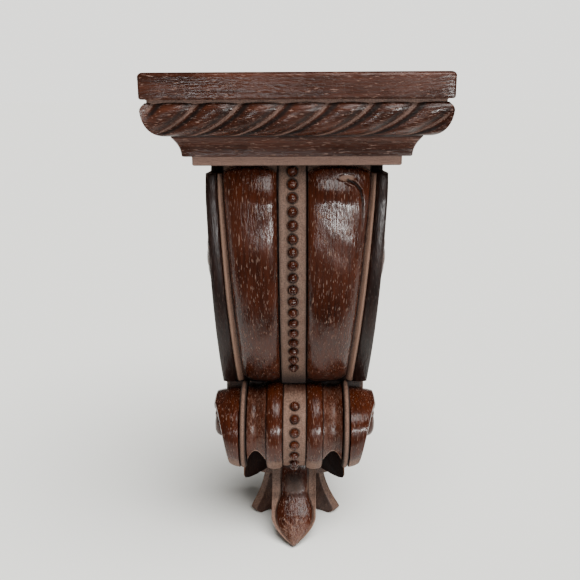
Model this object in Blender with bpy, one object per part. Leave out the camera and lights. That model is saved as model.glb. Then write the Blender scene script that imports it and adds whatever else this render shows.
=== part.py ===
"""A carved wooden shelf corbel: a moulded cap with a rope edge over a scrolled body with a leaf drop.

The origin is the mounting point on the flat back. +Z is up, and the front faces -Y. Sizes are metres.
The body's own heights are counted downwards from its top, and "out" is a distance from the wall.
"""

import math

import bmesh
import bpy

# The whole bracket
MOUNT_DROP = 0.110        # cap's top down to the mounting point
CAP_WIDTH = 0.152
CAP_DEPTH = 0.100
GLUE_GAP = 0.0003         # between the cap and the body
TRIM = 0.005              # the main forms start this far behind the wall and are cut flush
INNER_TRIM = 0.0035       # the forms joined to them start less far behind it

# The cap's mouldings, from the top down
SLAB_HEIGHT = 0.0118
SLAB_ROUND = 0.0022
QUIRK_HEIGHT = 0.0023
QUIRK_SET_BACK = 0.0026
ROPE_HEIGHT = 0.0163
ROPE_RAKE = 0.0120        # how far the rope's foot stands behind the slab
ROPE_SET_BACK = 0.0001    # the rope's fullest part behind the slab
ROPE_FULLNESS = 2.5       # 2 is a quarter of an ellipse, and more is fuller
ROPE_TWIST_PITCH = 0.0212
ROPE_TWIST_LEAN = 0.0300
ROPE_TWIST_START = 0.0064
ROPE_GROOVE = 0.0026
ROPE_MITRE = 0.0050       # the grooves die out over this length at the corners
ROPE_LAP = 0.0005         # the rope's foot hangs this far over the cove
COVE_HEIGHT = 0.0103
COVE_RAKE = 0.0049
COVE_HOLLOW = 0.0012
STEP_BACK = 0.0045        # from the cove's foot in to the lower fillet
FILLET_HEIGHT = 0.0053
CORNER_ROUND = 0.0014

# The body's trunk
BODY_HEIGHT = 0.1355      # body's top down to the scroll's top
BODY_INSET = 0.0268       # cap's side to the body's side at its top
BODY_TAPER = 0.0042       # how much each side draws in by the scroll
BODY_LEAN = -0.0027       # the leaf tips stand this far to one side of true
BODY_SET_BACK = 0.0200    # slab's front to the fullest part of the trunk
SHOULDER_HEIGHT = 0.020
SHOULDER_DEPTH = 0.009
FULL_DROP = 0.037         # body's top down to where the front starts to draw back
RECESSION = 0.034
STRIP_HALF = 0.0072
STRIP_OFF_CENTRE = -0.0024
BORDER_TOP = 0.0097
BORDER_FOOT = 0.0142
BORDER_DROP = 0.0045      # the border lies this far behind the strip
BORDER_BEAD_SHARE = 0.66
BORDER_BEAD_RISE = 0.0022
LOBE_RISE = 0.0062
LOBE_ARCH = 0.0034
LOBE_END = 0.0055
NOTCH_HEIGHT = 0.0045
NOTCH_DEPTH = 0.0080
SIDE_INSET = 0.0016
HAIRLINE = 0.0003         # the least width that parts two mouldings
LOBE_SINK = 0.0004        # a lobe's inner edge below the strip
LOBE_FOOT_GAP = 0.0020    # the lobes stop this far above the scroll
EDGE_SINK = 0.0006        # the edge bead's root below the border
EDGE_ROUND = 0.0030       # the front edge is eased over this depth
EDGE_STEP = 0.0062        # the side's flat starts this far behind the border

# The row of round beads
BEAD_RADIUS = 0.0029
BEAD_PITCH = 0.0072
BEAD_PROUD = 0.0005       # bead centre above the strip
BEAD_ROW_STOP = 0.0140    # the trunk's row ends this far above its foot
SCROLL_BEADS_FROM_DEG = 46.0
SCROLL_BEADS_TO_DEG = -75.0

# The scroll
SCROLL_RADIUS = 0.0280
SCROLL_SET_BACK = 0.0100  # fullest trunk to the scroll's front
SCROLL_HALF_TOP = 0.0494
SCROLL_HALF_FOOT = 0.0400
REED_WIDTH = 0.0098
FLUTE_WIDTH = 0.0115
RIB_WIDTH = 0.0032
REED_RISE = 0.0024
FLUTE_DEPTH = 0.0028
QUIRK_CUT = 0.0030
RIB_RISE = 0.0010
MOULD_STEP = 0.0008       # the small step between two of the scroll's mouldings
BAND_FALL = 0.0055        # the outer band's radius shrinks this much over its top
BAND_SLOPE = 0.0022       # the band falls this much towards its edge
BAND_ARRIS = 0.0016       # and this much more over its outer corner
FLUTE_END_DEG = -22.0
FLUTE_ARCH_DEG = 14.0
FLUTE_UNDERCUT = 0.0085
EYE_RADIUS = 0.0080
EYE_REACH = 0.0500
EYE_ROOT = 0.0040         # the eye starts this far inside the scroll's narrow end
SPIRAL_CUT = 0.0018
SPIRAL_STEPS = (          # share of the radius above and below, and how deep it is let in
    (0.90, 0.62, 0.0), (0.86, 0.56, SPIRAL_CUT), (0.58, 0.40, SPIRAL_CUT), (0.55, 0.36, 0.0))

# The block behind the scroll and the leaf drop
DROP_LENGTH = 0.0435      # scroll's foot down to the leaf tips
BLOCK_OUT = 0.0360
BLOCK_SINK = 0.0040       # the block starts this far below the trunk
BLOCK_FOOT_DROP = 0.0120  # it has narrowed to the stem this far below the scroll
STEM_HALF = 0.0125
STEM_FOOT_RISE = 0.0140   # the stem ends this far above the leaf tips
LEAF_HALF = 0.0140
LEAF_THICK = 0.0090
LEAF_TIP_THICK = 0.0020
LEAF_TIP_OUT = 0.0730
LEAF_NECK_OUT = 0.0400
LEAF_NECK_RISE = 0.0080   # the leaf's root above the scroll's foot
LEAF_NECK_SET_BACK = 0.0020
LEAF_MIDRIB_RISE = 0.0032
FOOT_HALF_SPREAD = 0.0290
FOOT_INNER_SPREAD = 0.0150
FOOT_STEM_OUTER = 0.0190
FOOT_STEM_INNER = 0.0080
FOOT_OUT = 0.0340
FOOT_CROWN = 0.0035       # the foot's front falls this much towards its sides
FOOT_ROUND = 0.0060
EAR_HALF_SPREAD = 0.0320
EAR_SPLAY = 0.0015
EAR_INNER = 0.0100
EAR_TIP_WIDTH = 0.0045
EAR_RISE = 0.0220         # the ear's root above the scroll's foot
EAR_DROP = 0.0068         # ear tips below the scroll's foot
EAR_TOP_OUT = 0.0600
EAR_TIP_OUT = 0.0500
EAR_THICK = 0.0240
EAR_TIP_THICK = 0.0050
EAR_HOLLOW = 0.0035

# The leaves on each side
LEAF_ROOT_DROP = 0.0080
LEAF_LENGTH = 0.0600
LEAF_WIDTH = 0.0400
LEAF_PROUD = 0.0066
LEAF_ROOT_OUT = 0.0360
LEAF_END_OUT = 0.0600
LEAF_EDGE = 0.0012        # a leaf's root stands this far off the side
LEAF_SINK = 0.0030        # and its underside lies this deep in it
SMALL_LEAF_LENGTH = 0.0480
SMALL_LEAF_WIDTH = 0.0270
SMALL_LEAF_PROUD = 0.0036
SMALL_LEAF_ROOT_OUT = 0.0340
SMALL_LEAF_END_OUT = 0.0460
LEAF_LAP = 0.0060         # the small leaf starts this far above the large one's tip

# Fineness
SECTION_LOBE = 6
BEAD_SIDES = 7
EYE_SIDES = 12
ROPE_ROWS = 6
ROPE_PHASES = (0.0, 0.14, 0.36, 0.64, 0.86)
SCROLL_STEPS = 14

# Worked out from the sizes above
CAP_TOP = MOUNT_DROP
CAP_HEIGHT = SLAB_HEIGHT + QUIRK_HEIGHT + ROPE_HEIGHT + COVE_HEIGHT + FILLET_HEIGHT
BODY_TOP = CAP_TOP - CAP_HEIGHT - GLUE_GAP
TOP_HALF = CAP_WIDTH / 2 - BODY_INSET
TRUNK_OUT = CAP_DEPTH - BODY_SET_BACK
SCROLL_OUT = TRUNK_OUT - SCROLL_SET_BACK - SCROLL_RADIUS
SCROLL_Z = BODY_TOP - BODY_HEIGHT - SCROLL_RADIUS
SCROLL_FOOT = SCROLL_Z - SCROLL_RADIUS
TIP_Z = SCROLL_FOOT - DROP_LENGTH


def lerp(a, b, t):
    return a + (b - a) * t


def dome(u, power=2.5):
    """A rounded crown over u from -1 to 1: 1 in the middle, 0 at the edges."""
    return max(0.0, 1.0 - abs(u) ** power) ** (1.0 / power)


def ease(t):
    t = min(1.0, max(0.0, t))
    return t * t * (3 - 2 * t)


def point(x, out, z):
    """A place in the part's frame. Below the seam, the carving leans a little out of true."""
    lean = BODY_LEAN * max(0.0, BODY_TOP - z) / (BODY_TOP - TIP_Z)
    return (x + lean, -out, z)


def material(name, colour, roughness):
    made = bpy.data.materials.new(name)
    made.use_nodes = True
    shader = made.node_tree.nodes["Principled BSDF"]
    shader.inputs["Base Color"].default_value = (*colour, 1.0)
    shader.inputs["Roughness"].default_value = roughness
    shader.inputs["Metallic"].default_value = 0.0
    return made


def solid(name, points, faces, finish=None, cutter=False):
    """One object from points and faces, with its faces turned outwards."""
    mesh = bpy.data.meshes.new(name)
    mesh.from_pydata(points, [], faces)
    work = bmesh.new()
    work.from_mesh(mesh)
    bmesh.ops.remove_doubles(work, verts=work.verts, dist=0.00001)
    bmesh.ops.triangulate(work, faces=work.faces)
    bmesh.ops.recalc_face_normals(work, faces=work.faces)
    work.to_mesh(mesh)
    work.free()
    made = bpy.data.objects.new(name, mesh)
    bpy.context.collection.objects.link(made)
    if finish:
        mesh.materials.append(finish)
        mesh.shade_smooth()
        mesh.set_sharp_from_angle(angle=math.radians(35))
    if cutter:
        made.hide_render = True
        made.display_type = "WIRE"
    return made


def loft(rings):
    """Points and faces of a closed body through closed rings, with a fan over each end."""
    count = len(rings[0])
    points = [p for ring in rings for p in ring]
    faces = []
    for row in range(len(rings) - 1):
        for k in range(count):
            here = row * count + k
            after = row * count + (k + 1) % count
            faces.append((here, after, after + count, here + count))
    for ring, first in ((rings[0], 0), (rings[-1], (len(rings) - 1) * count)):
        middle = tuple(sum(p[axis] for p in ring) / count for axis in range(3))
        points.append(middle)
        hub = len(points) - 1
        for k in range(count):
            faces.append((first + k, first + (k + 1) % count, hub))
    return points, faces


def join(parts):
    """Several lists of points and faces as one, each still its own shell."""
    points = []
    faces = []
    for some_points, some_faces in parts:
        first = len(points)
        points += some_points
        faces += [tuple(first + k for k in face) for face in some_faces]
    return points, faces


def boolean(target, other, operation):
    change = target.modifiers.new(other.name, "BOOLEAN")
    change.operation = operation
    change.solver = "EXACT"
    change.object = other


def box(name, low, high):
    corners = [(x, y, z) for x in (low[0], high[0]) for y in (low[1], high[1]) for z in (low[2], high[2])]
    faces = [(0, 1, 3, 2), (4, 6, 7, 5), (0, 4, 5, 1), (2, 3, 7, 6), (0, 2, 6, 4), (1, 5, 7, 3)]
    return solid(name, corners, faces, cutter=True)


# The cap

def cap_outline(set_back, z):
    """The cap's rectangle at one level, with its front corners rounded."""
    half = CAP_WIDTH / 2 - set_back
    out = CAP_DEPTH - set_back
    ring = [point(-half, -TRIM, z)]
    for side, angles in ((-1, (0, 45, 90)), (1, (90, 45, 0))):
        for angle in angles:
            turn = math.radians(angle)
            x = half - CORNER_ROUND + CORNER_ROUND * math.cos(turn)
            y = out - CORNER_ROUND + CORNER_ROUND * math.sin(turn)
            ring.append(point(side * x, y, z))
    ring.append(point(half, -TRIM, z))
    return ring


def cap_profile():
    """Set-back and height of each level, from the slab's top to the lower fillet's foot."""
    levels = []
    for angle in (0, 30, 60, 90):
        turn = math.radians(angle)
        set_back = SLAB_ROUND * (1 - math.sin(turn))
        levels.append((set_back, CAP_TOP - SLAB_ROUND * (1 - math.cos(turn))))
    z = CAP_TOP - SLAB_HEIGHT
    levels.append((0.0, z + SLAB_ROUND / 3))
    levels.append((SLAB_ROUND / 3, z))
    levels.append((QUIRK_SET_BACK, z))
    z -= QUIRK_HEIGHT
    levels.append((QUIRK_SET_BACK + ROPE_LAP, z))
    z -= ROPE_HEIGHT
    levels.append((ROPE_RAKE + ROPE_GROOVE, z + ROPE_GROOVE))
    levels.append((ROPE_RAKE + ROPE_LAP, z + ROPE_LAP))
    for step in (1, 2, 3):
        share = step / 3
        hollow = COVE_HOLLOW * math.sin(math.pi * share)
        levels.append((ROPE_RAKE + COVE_RAKE * share + hollow, z - COVE_HEIGHT * share))
    z -= COVE_HEIGHT
    levels.append((ROPE_RAKE + COVE_RAKE + STEP_BACK, z))
    levels.append((ROPE_RAKE + COVE_RAKE + STEP_BACK, z - FILLET_HEIGHT))
    return levels


def rope_section(share):
    """Set-back and height on the rope's round face, share 0 at its top and 1 at its foot."""
    turn = math.radians(90 * share)
    reach = math.cos(turn) ** (2 / ROPE_FULLNESS)
    height = math.sin(turn) ** (2 / ROPE_FULLNESS)
    neck = (QUIRK_SET_BACK - ROPE_SET_BACK) * max(0.0, 1 - height / 0.25) ** 2
    top = CAP_TOP - SLAB_HEIGHT - QUIRK_HEIGHT
    return lerp(ROPE_RAKE, ROPE_SET_BACK, reach) + neck, top - ROPE_HEIGHT * height


def rope_cut(phase, share, from_mitre):
    """How deep the twist's groove is: phases 0 and 1 are grooves, which die out at a mitre."""
    crown = abs(math.sin(math.pi * phase)) ** 0.7
    ends = math.sin(math.pi * lerp(0.06, 0.94, share)) ** 0.5
    return ROPE_GROOVE * (1 - crown) * ends * min(1.0, from_mitre / ROPE_MITRE)


def rope_point(run, along, phase, share):
    """A place on the rope: along is 0 at the front's middle, or at the corner on a side."""
    set_back, z = rope_section(share)
    half = CAP_WIDTH / 2 - set_back
    out = CAP_DEPTH - set_back
    if run == "front":
        x = min(half, max(-half, along))
        return point(x, out - rope_cut(phase, share, half - abs(x)), z)
    side = -1 if run == "left" else 1
    back = min(out, CAP_DEPTH - side * along)
    return point(side * (half - rope_cut(phase, share, out - back)), back, z)


def rope_core_point(run, along, z):
    core = ROPE_RAKE + 2 * ROPE_GROOVE
    half = CAP_WIDTH / 2 - core
    if run == "front":
        return point(min(half, max(-half, along)), CAP_DEPTH - core, z)
    side = -1 if run == "left" else 1
    return point(side * half, min(CAP_DEPTH - core, CAP_DEPTH - side * along), z)


def rope_rings():
    """Rings of the rope moulding, from the wall along one side, across the front and back.

    Each ring leans with the twist, and stops at the mitre where it would pass a corner.
    """
    shares = [k / ROPE_ROWS for k in range(ROPE_ROWS + 1)]
    top = rope_section(0.0)[1] - ROPE_GROOVE / 2
    foot_z = rope_section(1.0)[1] + ROPE_GROOVE / 2
    half = CAP_WIDTH / 2
    spans = {"left": (-CAP_DEPTH - INNER_TRIM, 0.0), "front": (-half, half),
             "right": (0.0, CAP_DEPTH + INNER_TRIM)}
    rings = []
    for run, (low, high) in spans.items():
        first = math.floor((low - ROPE_TWIST_LEAN - ROPE_TWIST_START) / ROPE_TWIST_PITCH)
        last = math.ceil((high - ROPE_TWIST_START) / ROPE_TWIST_PITCH)
        for strand in range(first, last + 1):
            for phase in ROPE_PHASES:
                foot = (strand + phase) * ROPE_TWIST_PITCH + ROPE_TWIST_START
                ring = [rope_point(run, foot + ROPE_TWIST_LEAN * (1 - share), phase, share)
                        for share in shares]
                ring.append(rope_core_point(run, foot, foot_z))
                ring.append(rope_core_point(run, foot + ROPE_TWIST_LEAN, top))
                rings.append(ring)
    return rings


def make_cap(finish):
    cap = solid("cap", *loft([cap_outline(b, z) for b, z in cap_profile()]), finish=finish)
    rope = solid("rope", *loft(rope_rings()), cutter=True)
    boolean(cap, rope, "UNION")
    boolean(cap, wall, "DIFFERENCE")
    return cap


# The trunk

def strip_out(drop):
    """How far the bead strip stands from the wall."""
    lean = max(0.0, 1 - drop / SHOULDER_HEIGHT) ** 1.8
    fall = max(0.0, (drop - FULL_DROP) / (BODY_HEIGHT - FULL_DROP))
    return TRUNK_OUT - SHOULDER_DEPTH * lean - RECESSION * fall ** 2


def body_half(drop):
    return TOP_HALF - BODY_TAPER * min(1.0, drop / BODY_HEIGHT)


def border_width(drop):
    return lerp(BORDER_TOP, BORDER_FOOT, min(1.0, drop / BODY_HEIGHT))


def strip_centre(drop):
    return STRIP_OFF_CENTRE * max(0.0, 1 - drop / BODY_HEIGHT * 0.7)


def lobe_end(drop, u):
    """Rounds a lobe off at its arched top and at its foot: 1 along its length, 0 past its ends."""
    arch = LOBE_ARCH * abs(u) ** 2.5
    from_top = (drop - arch) / (LOBE_END * 0.4)
    from_foot = (BODY_HEIGHT - LOBE_FOOT_GAP - LOBE_ARCH * abs(u) ** 4 - drop) / LOBE_END
    near = min(from_top, from_foot)
    if near <= 0:
        return 0.0
    return math.sqrt(max(0.0, 1 - (1 - min(1.0, near)) ** 2))


def trunk_half_section(drop, side):
    """One half of the trunk's front, from the strip out to the side: x and out."""
    half = body_half(drop)
    centre = strip_centre(drop)
    inner = STRIP_HALF + side * centre
    border = border_width(drop)
    outer = half - border
    face = strip_out(drop)
    notch = drop < NOTCH_HEIGHT
    row = [(inner, face)]
    ground = BORDER_DROP if drop < BODY_HEIGHT else 0.0
    for k in range(SECTION_LOBE + 1):
        u = -1 + 2 * k / SECTION_LOBE
        u = math.sin(u * math.pi / 2)
        rise = LOBE_RISE * dome(u) * lobe_end(drop, u)
        slope = lerp(LOBE_SINK, ground, (u + 1) / 2)
        row.append((lerp(inner + HAIRLINE, outer, (u + 1) / 2), face - slope + rise))
    bead = border * BORDER_BEAD_SHARE
    edge = outer + border - bead
    back = face - ground - (NOTCH_DEPTH if notch else 0.0)
    pinch = SIDE_INSET + HAIRLINE if notch else 0.0
    row.append((edge - HAIRLINE, back))
    for angle in (25, 65, 105, 150):
        turn = math.radians(angle)
        x = edge + bead / 2 * (1 - math.cos(turn)) - pinch
        row.append((x, back - EDGE_SINK + BORDER_BEAD_RISE * math.sin(turn)))
    row.append((half - pinch, back - EDGE_ROUND))
    row.append((half - max(SIDE_INSET, pinch), back - EDGE_STEP))
    return row


def trunk_ring(drop, z):
    left = trunk_half_section(drop, -1)
    right = trunk_half_section(drop, 1)
    ring = [point(-left[-1][0], -TRIM, z)]
    ring += [point(-x, out, z) for x, out in reversed(left)]
    ring += [point(x, out, z) for x, out in right]
    ring.append(point(right[-1][0], -TRIM, z))
    return ring


def block_ring(half, out, z, count):
    """The plain block behind the scroll, with as many points as a trunk ring."""
    inner = count - 6
    ring = [point(-half, -TRIM, z), point(-half, out / 2, z), point(-half, out * 0.9, z)]
    ring += [point(lerp(-half, half, k / (inner - 1)) * 0.98, out, z) for k in range(inner)]
    ring += [point(half, out * 0.9, z), point(half, out / 2, z), point(half, -TRIM, z)]
    return ring


def trunk_rings():
    ledge = HAIRLINE / 3
    drops = [0.0, NOTCH_HEIGHT * 0.36, NOTCH_HEIGHT * 0.72, NOTCH_HEIGHT - ledge, NOTCH_HEIGHT + ledge]
    drops += [SHOULDER_HEIGHT * share for share in (0.38, 0.55, 0.80, 1.10)]
    drops += [lerp(SHOULDER_HEIGHT * 1.5, BODY_HEIGHT - LOBE_END * 2.5, k / 7) for k in range(8)]
    drops += [BODY_HEIGHT - LOBE_END * share for share in (1.64, 1.09, 0.73, 0.45, 0.09)]
    rings = [trunk_ring(drop, BODY_TOP - drop) for drop in drops]
    count = len(rings[-1])
    foot_half = body_half(BODY_HEIGHT) - SIDE_INSET
    top = BODY_TOP - BODY_HEIGHT - BLOCK_SINK
    for share in (0.0, 0.5, 0.72, 0.86, 0.95, 1.0):
        half = lerp(STEM_HALF, foot_half, dome(share, 3.0))
        z = lerp(top, SCROLL_FOOT - BLOCK_FOOT_DROP, share)
        rings.append(block_ring(half, min(BLOCK_OUT, SCROLL_OUT), z, count))
    rings.append(block_ring(STEM_HALF, BLOCK_OUT * 0.8, TIP_Z + STEM_FOOT_RISE, count))
    return rings


# The beads

def bead(centre, radius):
    """A round bead with a few sides."""
    x, y, z = centre
    sides = BEAD_SIDES
    rings = []
    for tilt in (-50, 0, 50):
        turn = math.radians(tilt)
        ring = []
        for k in range(sides):
            angle = 2 * math.pi * k / sides
            across = radius * math.cos(turn)
            ring.append((x + across * math.cos(angle), y - radius * math.sin(turn),
                         z + across * math.sin(angle)))
        rings.append(ring)
    return loft(rings)


def bead_places():
    """Bead centres: down the trunk's strip, then round the front of the scroll."""
    places = []
    drop = BEAD_PITCH * 0.45
    while drop < BODY_HEIGHT - BEAD_ROW_STOP:
        out = strip_out(drop)
        slope = (strip_out(drop + 0.001) - strip_out(drop - 0.001)) / 0.002
        places.append(point(strip_centre(drop), out + BEAD_PROUD, BODY_TOP - drop))
        drop += BEAD_PITCH / math.sqrt(1 + slope ** 2)
    radius = SCROLL_RADIUS - REED_RISE / 2
    angle = SCROLL_BEADS_FROM_DEG
    while angle > SCROLL_BEADS_TO_DEG:
        turn = math.radians(angle)
        reach = radius + BEAD_PROUD
        places.append(point(0.0, SCROLL_OUT + reach * math.cos(turn), SCROLL_Z + reach * math.sin(turn)))
        angle -= math.degrees(BEAD_PITCH / radius)
    return places


# The scroll

def scroll_edge(angle):
    """Half width of the scroll at an angle above its front: it draws in as it winds under."""
    share = ease((60 - angle) / 130)
    return lerp(SCROLL_HALF_TOP, SCROLL_HALF_FOOT, share)


def scroll_columns(angle):
    """Across half of the scroll: x and the change of radius, from the strip to the edge."""
    strip = STRIP_HALF - 2 * HAIRLINE
    low = -REED_RISE / 2
    row = [(0.0, low), (strip, low)]
    x = strip + HAIRLINE
    for u in (-1.0, -0.8, -0.3, 0.3, 0.8, 1.0):
        rise = REED_RISE * dome(u, 2.2) - 2 * HAIRLINE
        row.append((x + REED_WIDTH * (u + 1) / 2, low + rise))
    x += REED_WIDTH + HAIRLINE
    for k in range(5):
        t = k / 4
        depth = FLUTE_DEPTH * math.sin(math.pi * t ** 1.3) + MOULD_STEP
        arch = FLUTE_END_DEG - FLUTE_ARCH_DEG * (2 * t - 1) ** 2
        cut = FLUTE_UNDERCUT if angle < arch else 0.0
        row.append((x + FLUTE_WIDTH * t, low - depth - cut))
    x += FLUTE_WIDTH
    row.append((x + HAIRLINE, low - QUIRK_CUT))
    for t in (0.0, 0.3, 0.7, 1.0):
        row.append((x + MOULD_STEP + RIB_WIDTH * t, low + HAIRLINE + RIB_RISE * math.sin(math.pi * t)))
    x += RIB_WIDTH + MOULD_STEP
    row.append((x + HAIRLINE, low - QUIRK_CUT * 0.7))
    edge = scroll_edge(angle)
    band = low + MOULD_STEP - BAND_FALL * ease((angle - 15) / 65)
    for t in (0.04, 0.34, 0.72, 0.93, 1.0):
        fall = BAND_SLOPE * t ** 2 + (BAND_ARRIS if t == 1.0 else 0.0)
        row.append((lerp(x + 2 * HAIRLINE, edge, t), band - fall))
    return row


def scroll_ring(angles, radii, xs):
    ring = []
    for angle, reach, x in zip(angles, radii, xs):
        turn = math.radians(angle)
        ring.append(point(x, SCROLL_OUT + reach * math.cos(turn), SCROLL_Z + reach * math.sin(turn)))
    return ring


def scroll_rings():
    """The scroll's rings: each is one column of x, wound round from behind its top to below."""
    angles = [130 - 260 * k / SCROLL_STEPS for k in range(SCROLL_STEPS + 1)]
    rows = [scroll_columns(a) for a in angles]
    count = len(rows[0])
    rings = []
    for side in (-1, 1):
        order = range(count - 1, 0, -1) if side < 0 else range(count)
        columns = []
        for column in order:
            radii = [SCROLL_RADIUS + row[column][1] for row in rows]
            columns.append(scroll_ring(angles, radii, [side * row[column][0] for row in rows]))
        faces = []
        for share_top, share_foot, inset in SPIRAL_STEPS:
            shares = [lerp(share_top, share_foot, (130 - a) / 260) for a in angles]
            radii = [(SCROLL_RADIUS + row[-1][1]) * share for share, row in zip(shares, rows)]
            faces.append(scroll_ring(angles, radii, [side * (row[-1][0] - inset) for row in rows]))
        rings += list(reversed(faces)) + columns if side < 0 else columns + faces
    return rings


def eye(side):
    """The turned boss at the scroll's centre, and the spiral step round it."""
    rings = []
    for reach_share, radius_share in ((0.0, 1.45), (0.62, 1.45), (0.66, 1.05), (0.93, 0.95), (1.0, 0.6)):
        x = lerp(SCROLL_HALF_FOOT - EYE_ROOT, EYE_REACH, reach_share)
        ring = []
        for k in range(EYE_SIDES):
            angle = 2 * math.pi * k / EYE_SIDES
            radius = EYE_RADIUS * radius_share
            ring.append(point(side * x, SCROLL_OUT + radius * math.cos(angle),
                              SCROLL_Z + radius * math.sin(angle)))
        rings.append(ring)
    return loft(rings)


# Leaves

def leaf(spine, across, width, rise, length_steps, width_steps, sink):
    """A leaf on a surface: spine(s), across(s) and width(s), with rise(s, t) over its ground.

    spine and across give points and unit directions; rise gives a vector. The underside lies
    sink below the ground, inside what carries the leaf.
    """
    rings = []
    for k in range(length_steps + 1):
        s = k / length_steps
        middle = spine(s)
        side = across(s)
        half = width(s)
        ring = []
        for j in range(width_steps + 1):
            t = -1 + 2 * j / width_steps
            lift = rise(s, t)
            ring.append(tuple(middle[a] + side[a] * half * t + lift[a] for a in range(3)))
        for t in (0.9, -0.9):
            ring.append(tuple(middle[a] + side[a] * half * t + sink[a] for a in range(3)))
        rings.append(ring)
    return loft(rings)


def side_leaf(side, root_drop, length, width, proud, root_out, tip_out):
    """An acanthus leaf hanging down the bracket's side, with its tip turned outwards."""
    lobes = 3

    def spine(s):
        drop = root_drop + length * s
        out = lerp(root_out, tip_out, ease(s))
        ground = body_half(drop) - SIDE_INSET
        return point(side * ground, out, BODY_TOP - drop)

    def across(s):
        return (0.0, -0.94, 0.34)

    def half(s):
        swell = math.sin(math.pi * min(1.0, 0.12 + 0.86 * s)) ** 0.7
        teeth = 1 + 0.14 * math.cos(2 * math.pi * lobes * s)
        return width / 2 * swell * teeth

    def rise(s, t):
        crown = dome(t, 2.2) * (0.75 + 0.25 * abs(t) ** 0.7)
        height = lerp(LEAF_EDGE, proud, s ** 1.5) * crown
        return (side * height, 0.0, 0.0)

    return leaf(spine, across, half, rise, 9, 6, (-side * LEAF_SINK, 0.0, 0.0))


def bezier(p0, p1, p2, p3, t):
    """A cubic curve through p0 and p3, drawn towards p1 and p2."""
    weights = ((1 - t) ** 3, 3 * t * (1 - t) ** 2, 3 * t * t * (1 - t), t ** 3)
    return tuple(sum(w * p[axis] for w, p in zip(weights, (p0, p1, p2, p3))) for axis in range(len(p0)))


def leaf_spine(s):
    """The middle leaf's curve, as out and height: down from the scroll, then out to its tip."""
    neck = (LEAF_NECK_OUT - LEAF_NECK_SET_BACK, SCROLL_FOOT + LEAF_NECK_RISE)
    tip = (LEAF_TIP_OUT - LEAF_TIP_THICK, TIP_Z + LEAF_TIP_THICK)
    down = (LEAF_NECK_OUT, lerp(neck[1], tip[1], 0.40))
    turn = (lerp(LEAF_NECK_OUT, tip[0], 0.52), lerp(neck[1], tip[1], 0.72))
    return bezier(neck, down, turn, tip, s)


def central_leaf():
    """The drop's middle leaf, which springs from under the scroll and curls out to its tip."""
    stations = 12
    rings = []
    for k in range(stations + 1):
        s = k / stations
        out, z = leaf_spine(s)
        before = leaf_spine(s - 0.01)
        after = leaf_spine(s + 0.01)
        run = (after[0] - before[0], after[1] - before[1])
        size = math.hypot(*run)
        normal = (-run[1] / size, run[0] / size)
        point_share = max(0.0, (s - 0.72) / 0.28)
        half = LEAF_HALF * (1 - 0.93 * point_share ** 1.7)
        bud = math.exp(-((s - 0.50) / 0.16) ** 2)
        blade = ease((s - 0.55) / 0.25)
        core = half * lerp(0.58, 0.82, blade)
        rise = LEAF_MIDRIB_RISE * (0.45 + 0.55 * max(bud, blade)) * (1 - 0.6 * point_share)
        thick = lerp(LEAF_THICK, LEAF_TIP_THICK, s)
        ring = []
        for x, lift in ((-half, 0.0), (-core, 0.0), (-core * 0.8, rise * 0.7), (-core * 0.4, rise),
                        (core * 0.4, rise), (core * 0.8, rise * 0.7), (core, 0.0), (half, 0.0),
                        (half * 0.96, -thick * 0.4), (half * 0.6, -thick),
                        (-half * 0.6, -thick), (-half * 0.96, -thick * 0.4)):
            ring.append(point(x, out + lift * normal[0], z + lift * normal[1]))
        rings.append(ring)
    return loft(rings)


def foot_leaf(side):
    """One of the two outer leaves of the drop: a stem that flares to a rounded foot."""
    rings = []
    for s in (0.0, 0.2, 0.4, 0.55, 0.68, 0.79, 0.88, 0.94, 0.98, 1.0):
        z = lerp(SCROLL_FOOT + LEAF_TIP_THICK, TIP_Z, s)
        flare = max(0.0, (s - 0.22) / 0.70) ** 1.9
        outer = lerp(FOOT_STEM_OUTER, FOOT_HALF_SPREAD, min(1.0, flare))
        inner = lerp(FOOT_STEM_INNER, FOOT_INNER_SPREAD, min(1.0, flare))
        under = max(0.0, (s - 0.86) / 0.14)
        round_off = 0.35 + 0.65 * math.sqrt(max(0.0, 1 - under ** 2))
        middle = (outer + inner) / 2
        half = (outer - inner) / 2 * round_off
        front = FOOT_OUT * lerp(0.92, 1.0, min(1.0, flare)) - FOOT_ROUND * (1 - round_off)
        ring = []
        for u, out in ((-1.0, front - FOOT_CROWN * 1.3), (-0.35, front - FOOT_CROWN), (0.45, front),
                       (1.0, front - FOOT_CROWN), (1.0, -INNER_TRIM), (-1.0, -INNER_TRIM)):
            ring.append(point(side * (middle + half * u), out, z))
        rings.append(ring)
    return loft(rings)


def ear(side):
    """A short dark lobe that hangs below the scroll's flute, its tip at its outer corner."""
    rings = []
    stations = 6
    for k in range(stations + 1):
        s = k / stations
        z = lerp(SCROLL_FOOT + EAR_RISE, SCROLL_FOOT - EAR_DROP, s)
        outer = lerp(EAR_HALF_SPREAD - EAR_SPLAY, EAR_HALF_SPREAD, s)
        inner = lerp(EAR_INNER, EAR_HALF_SPREAD - EAR_TIP_WIDTH, max(0.0, (s - 0.45) / 0.55) ** 1.2)
        front = lerp(EAR_TOP_OUT, EAR_TIP_OUT, s)
        thick = lerp(EAR_THICK, EAR_TIP_THICK, s)
        hollow = EAR_HOLLOW * (1 - s ** 2)
        middle = (outer + inner) / 2
        ring = [point(side * inner, front - HAIRLINE, z), point(side * middle, front - hollow, z),
                point(side * outer, front, z), point(side * outer, front - thick, z),
                point(side * inner, front - thick, z)]
        rings.append(ring)
    return loft(rings)


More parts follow.
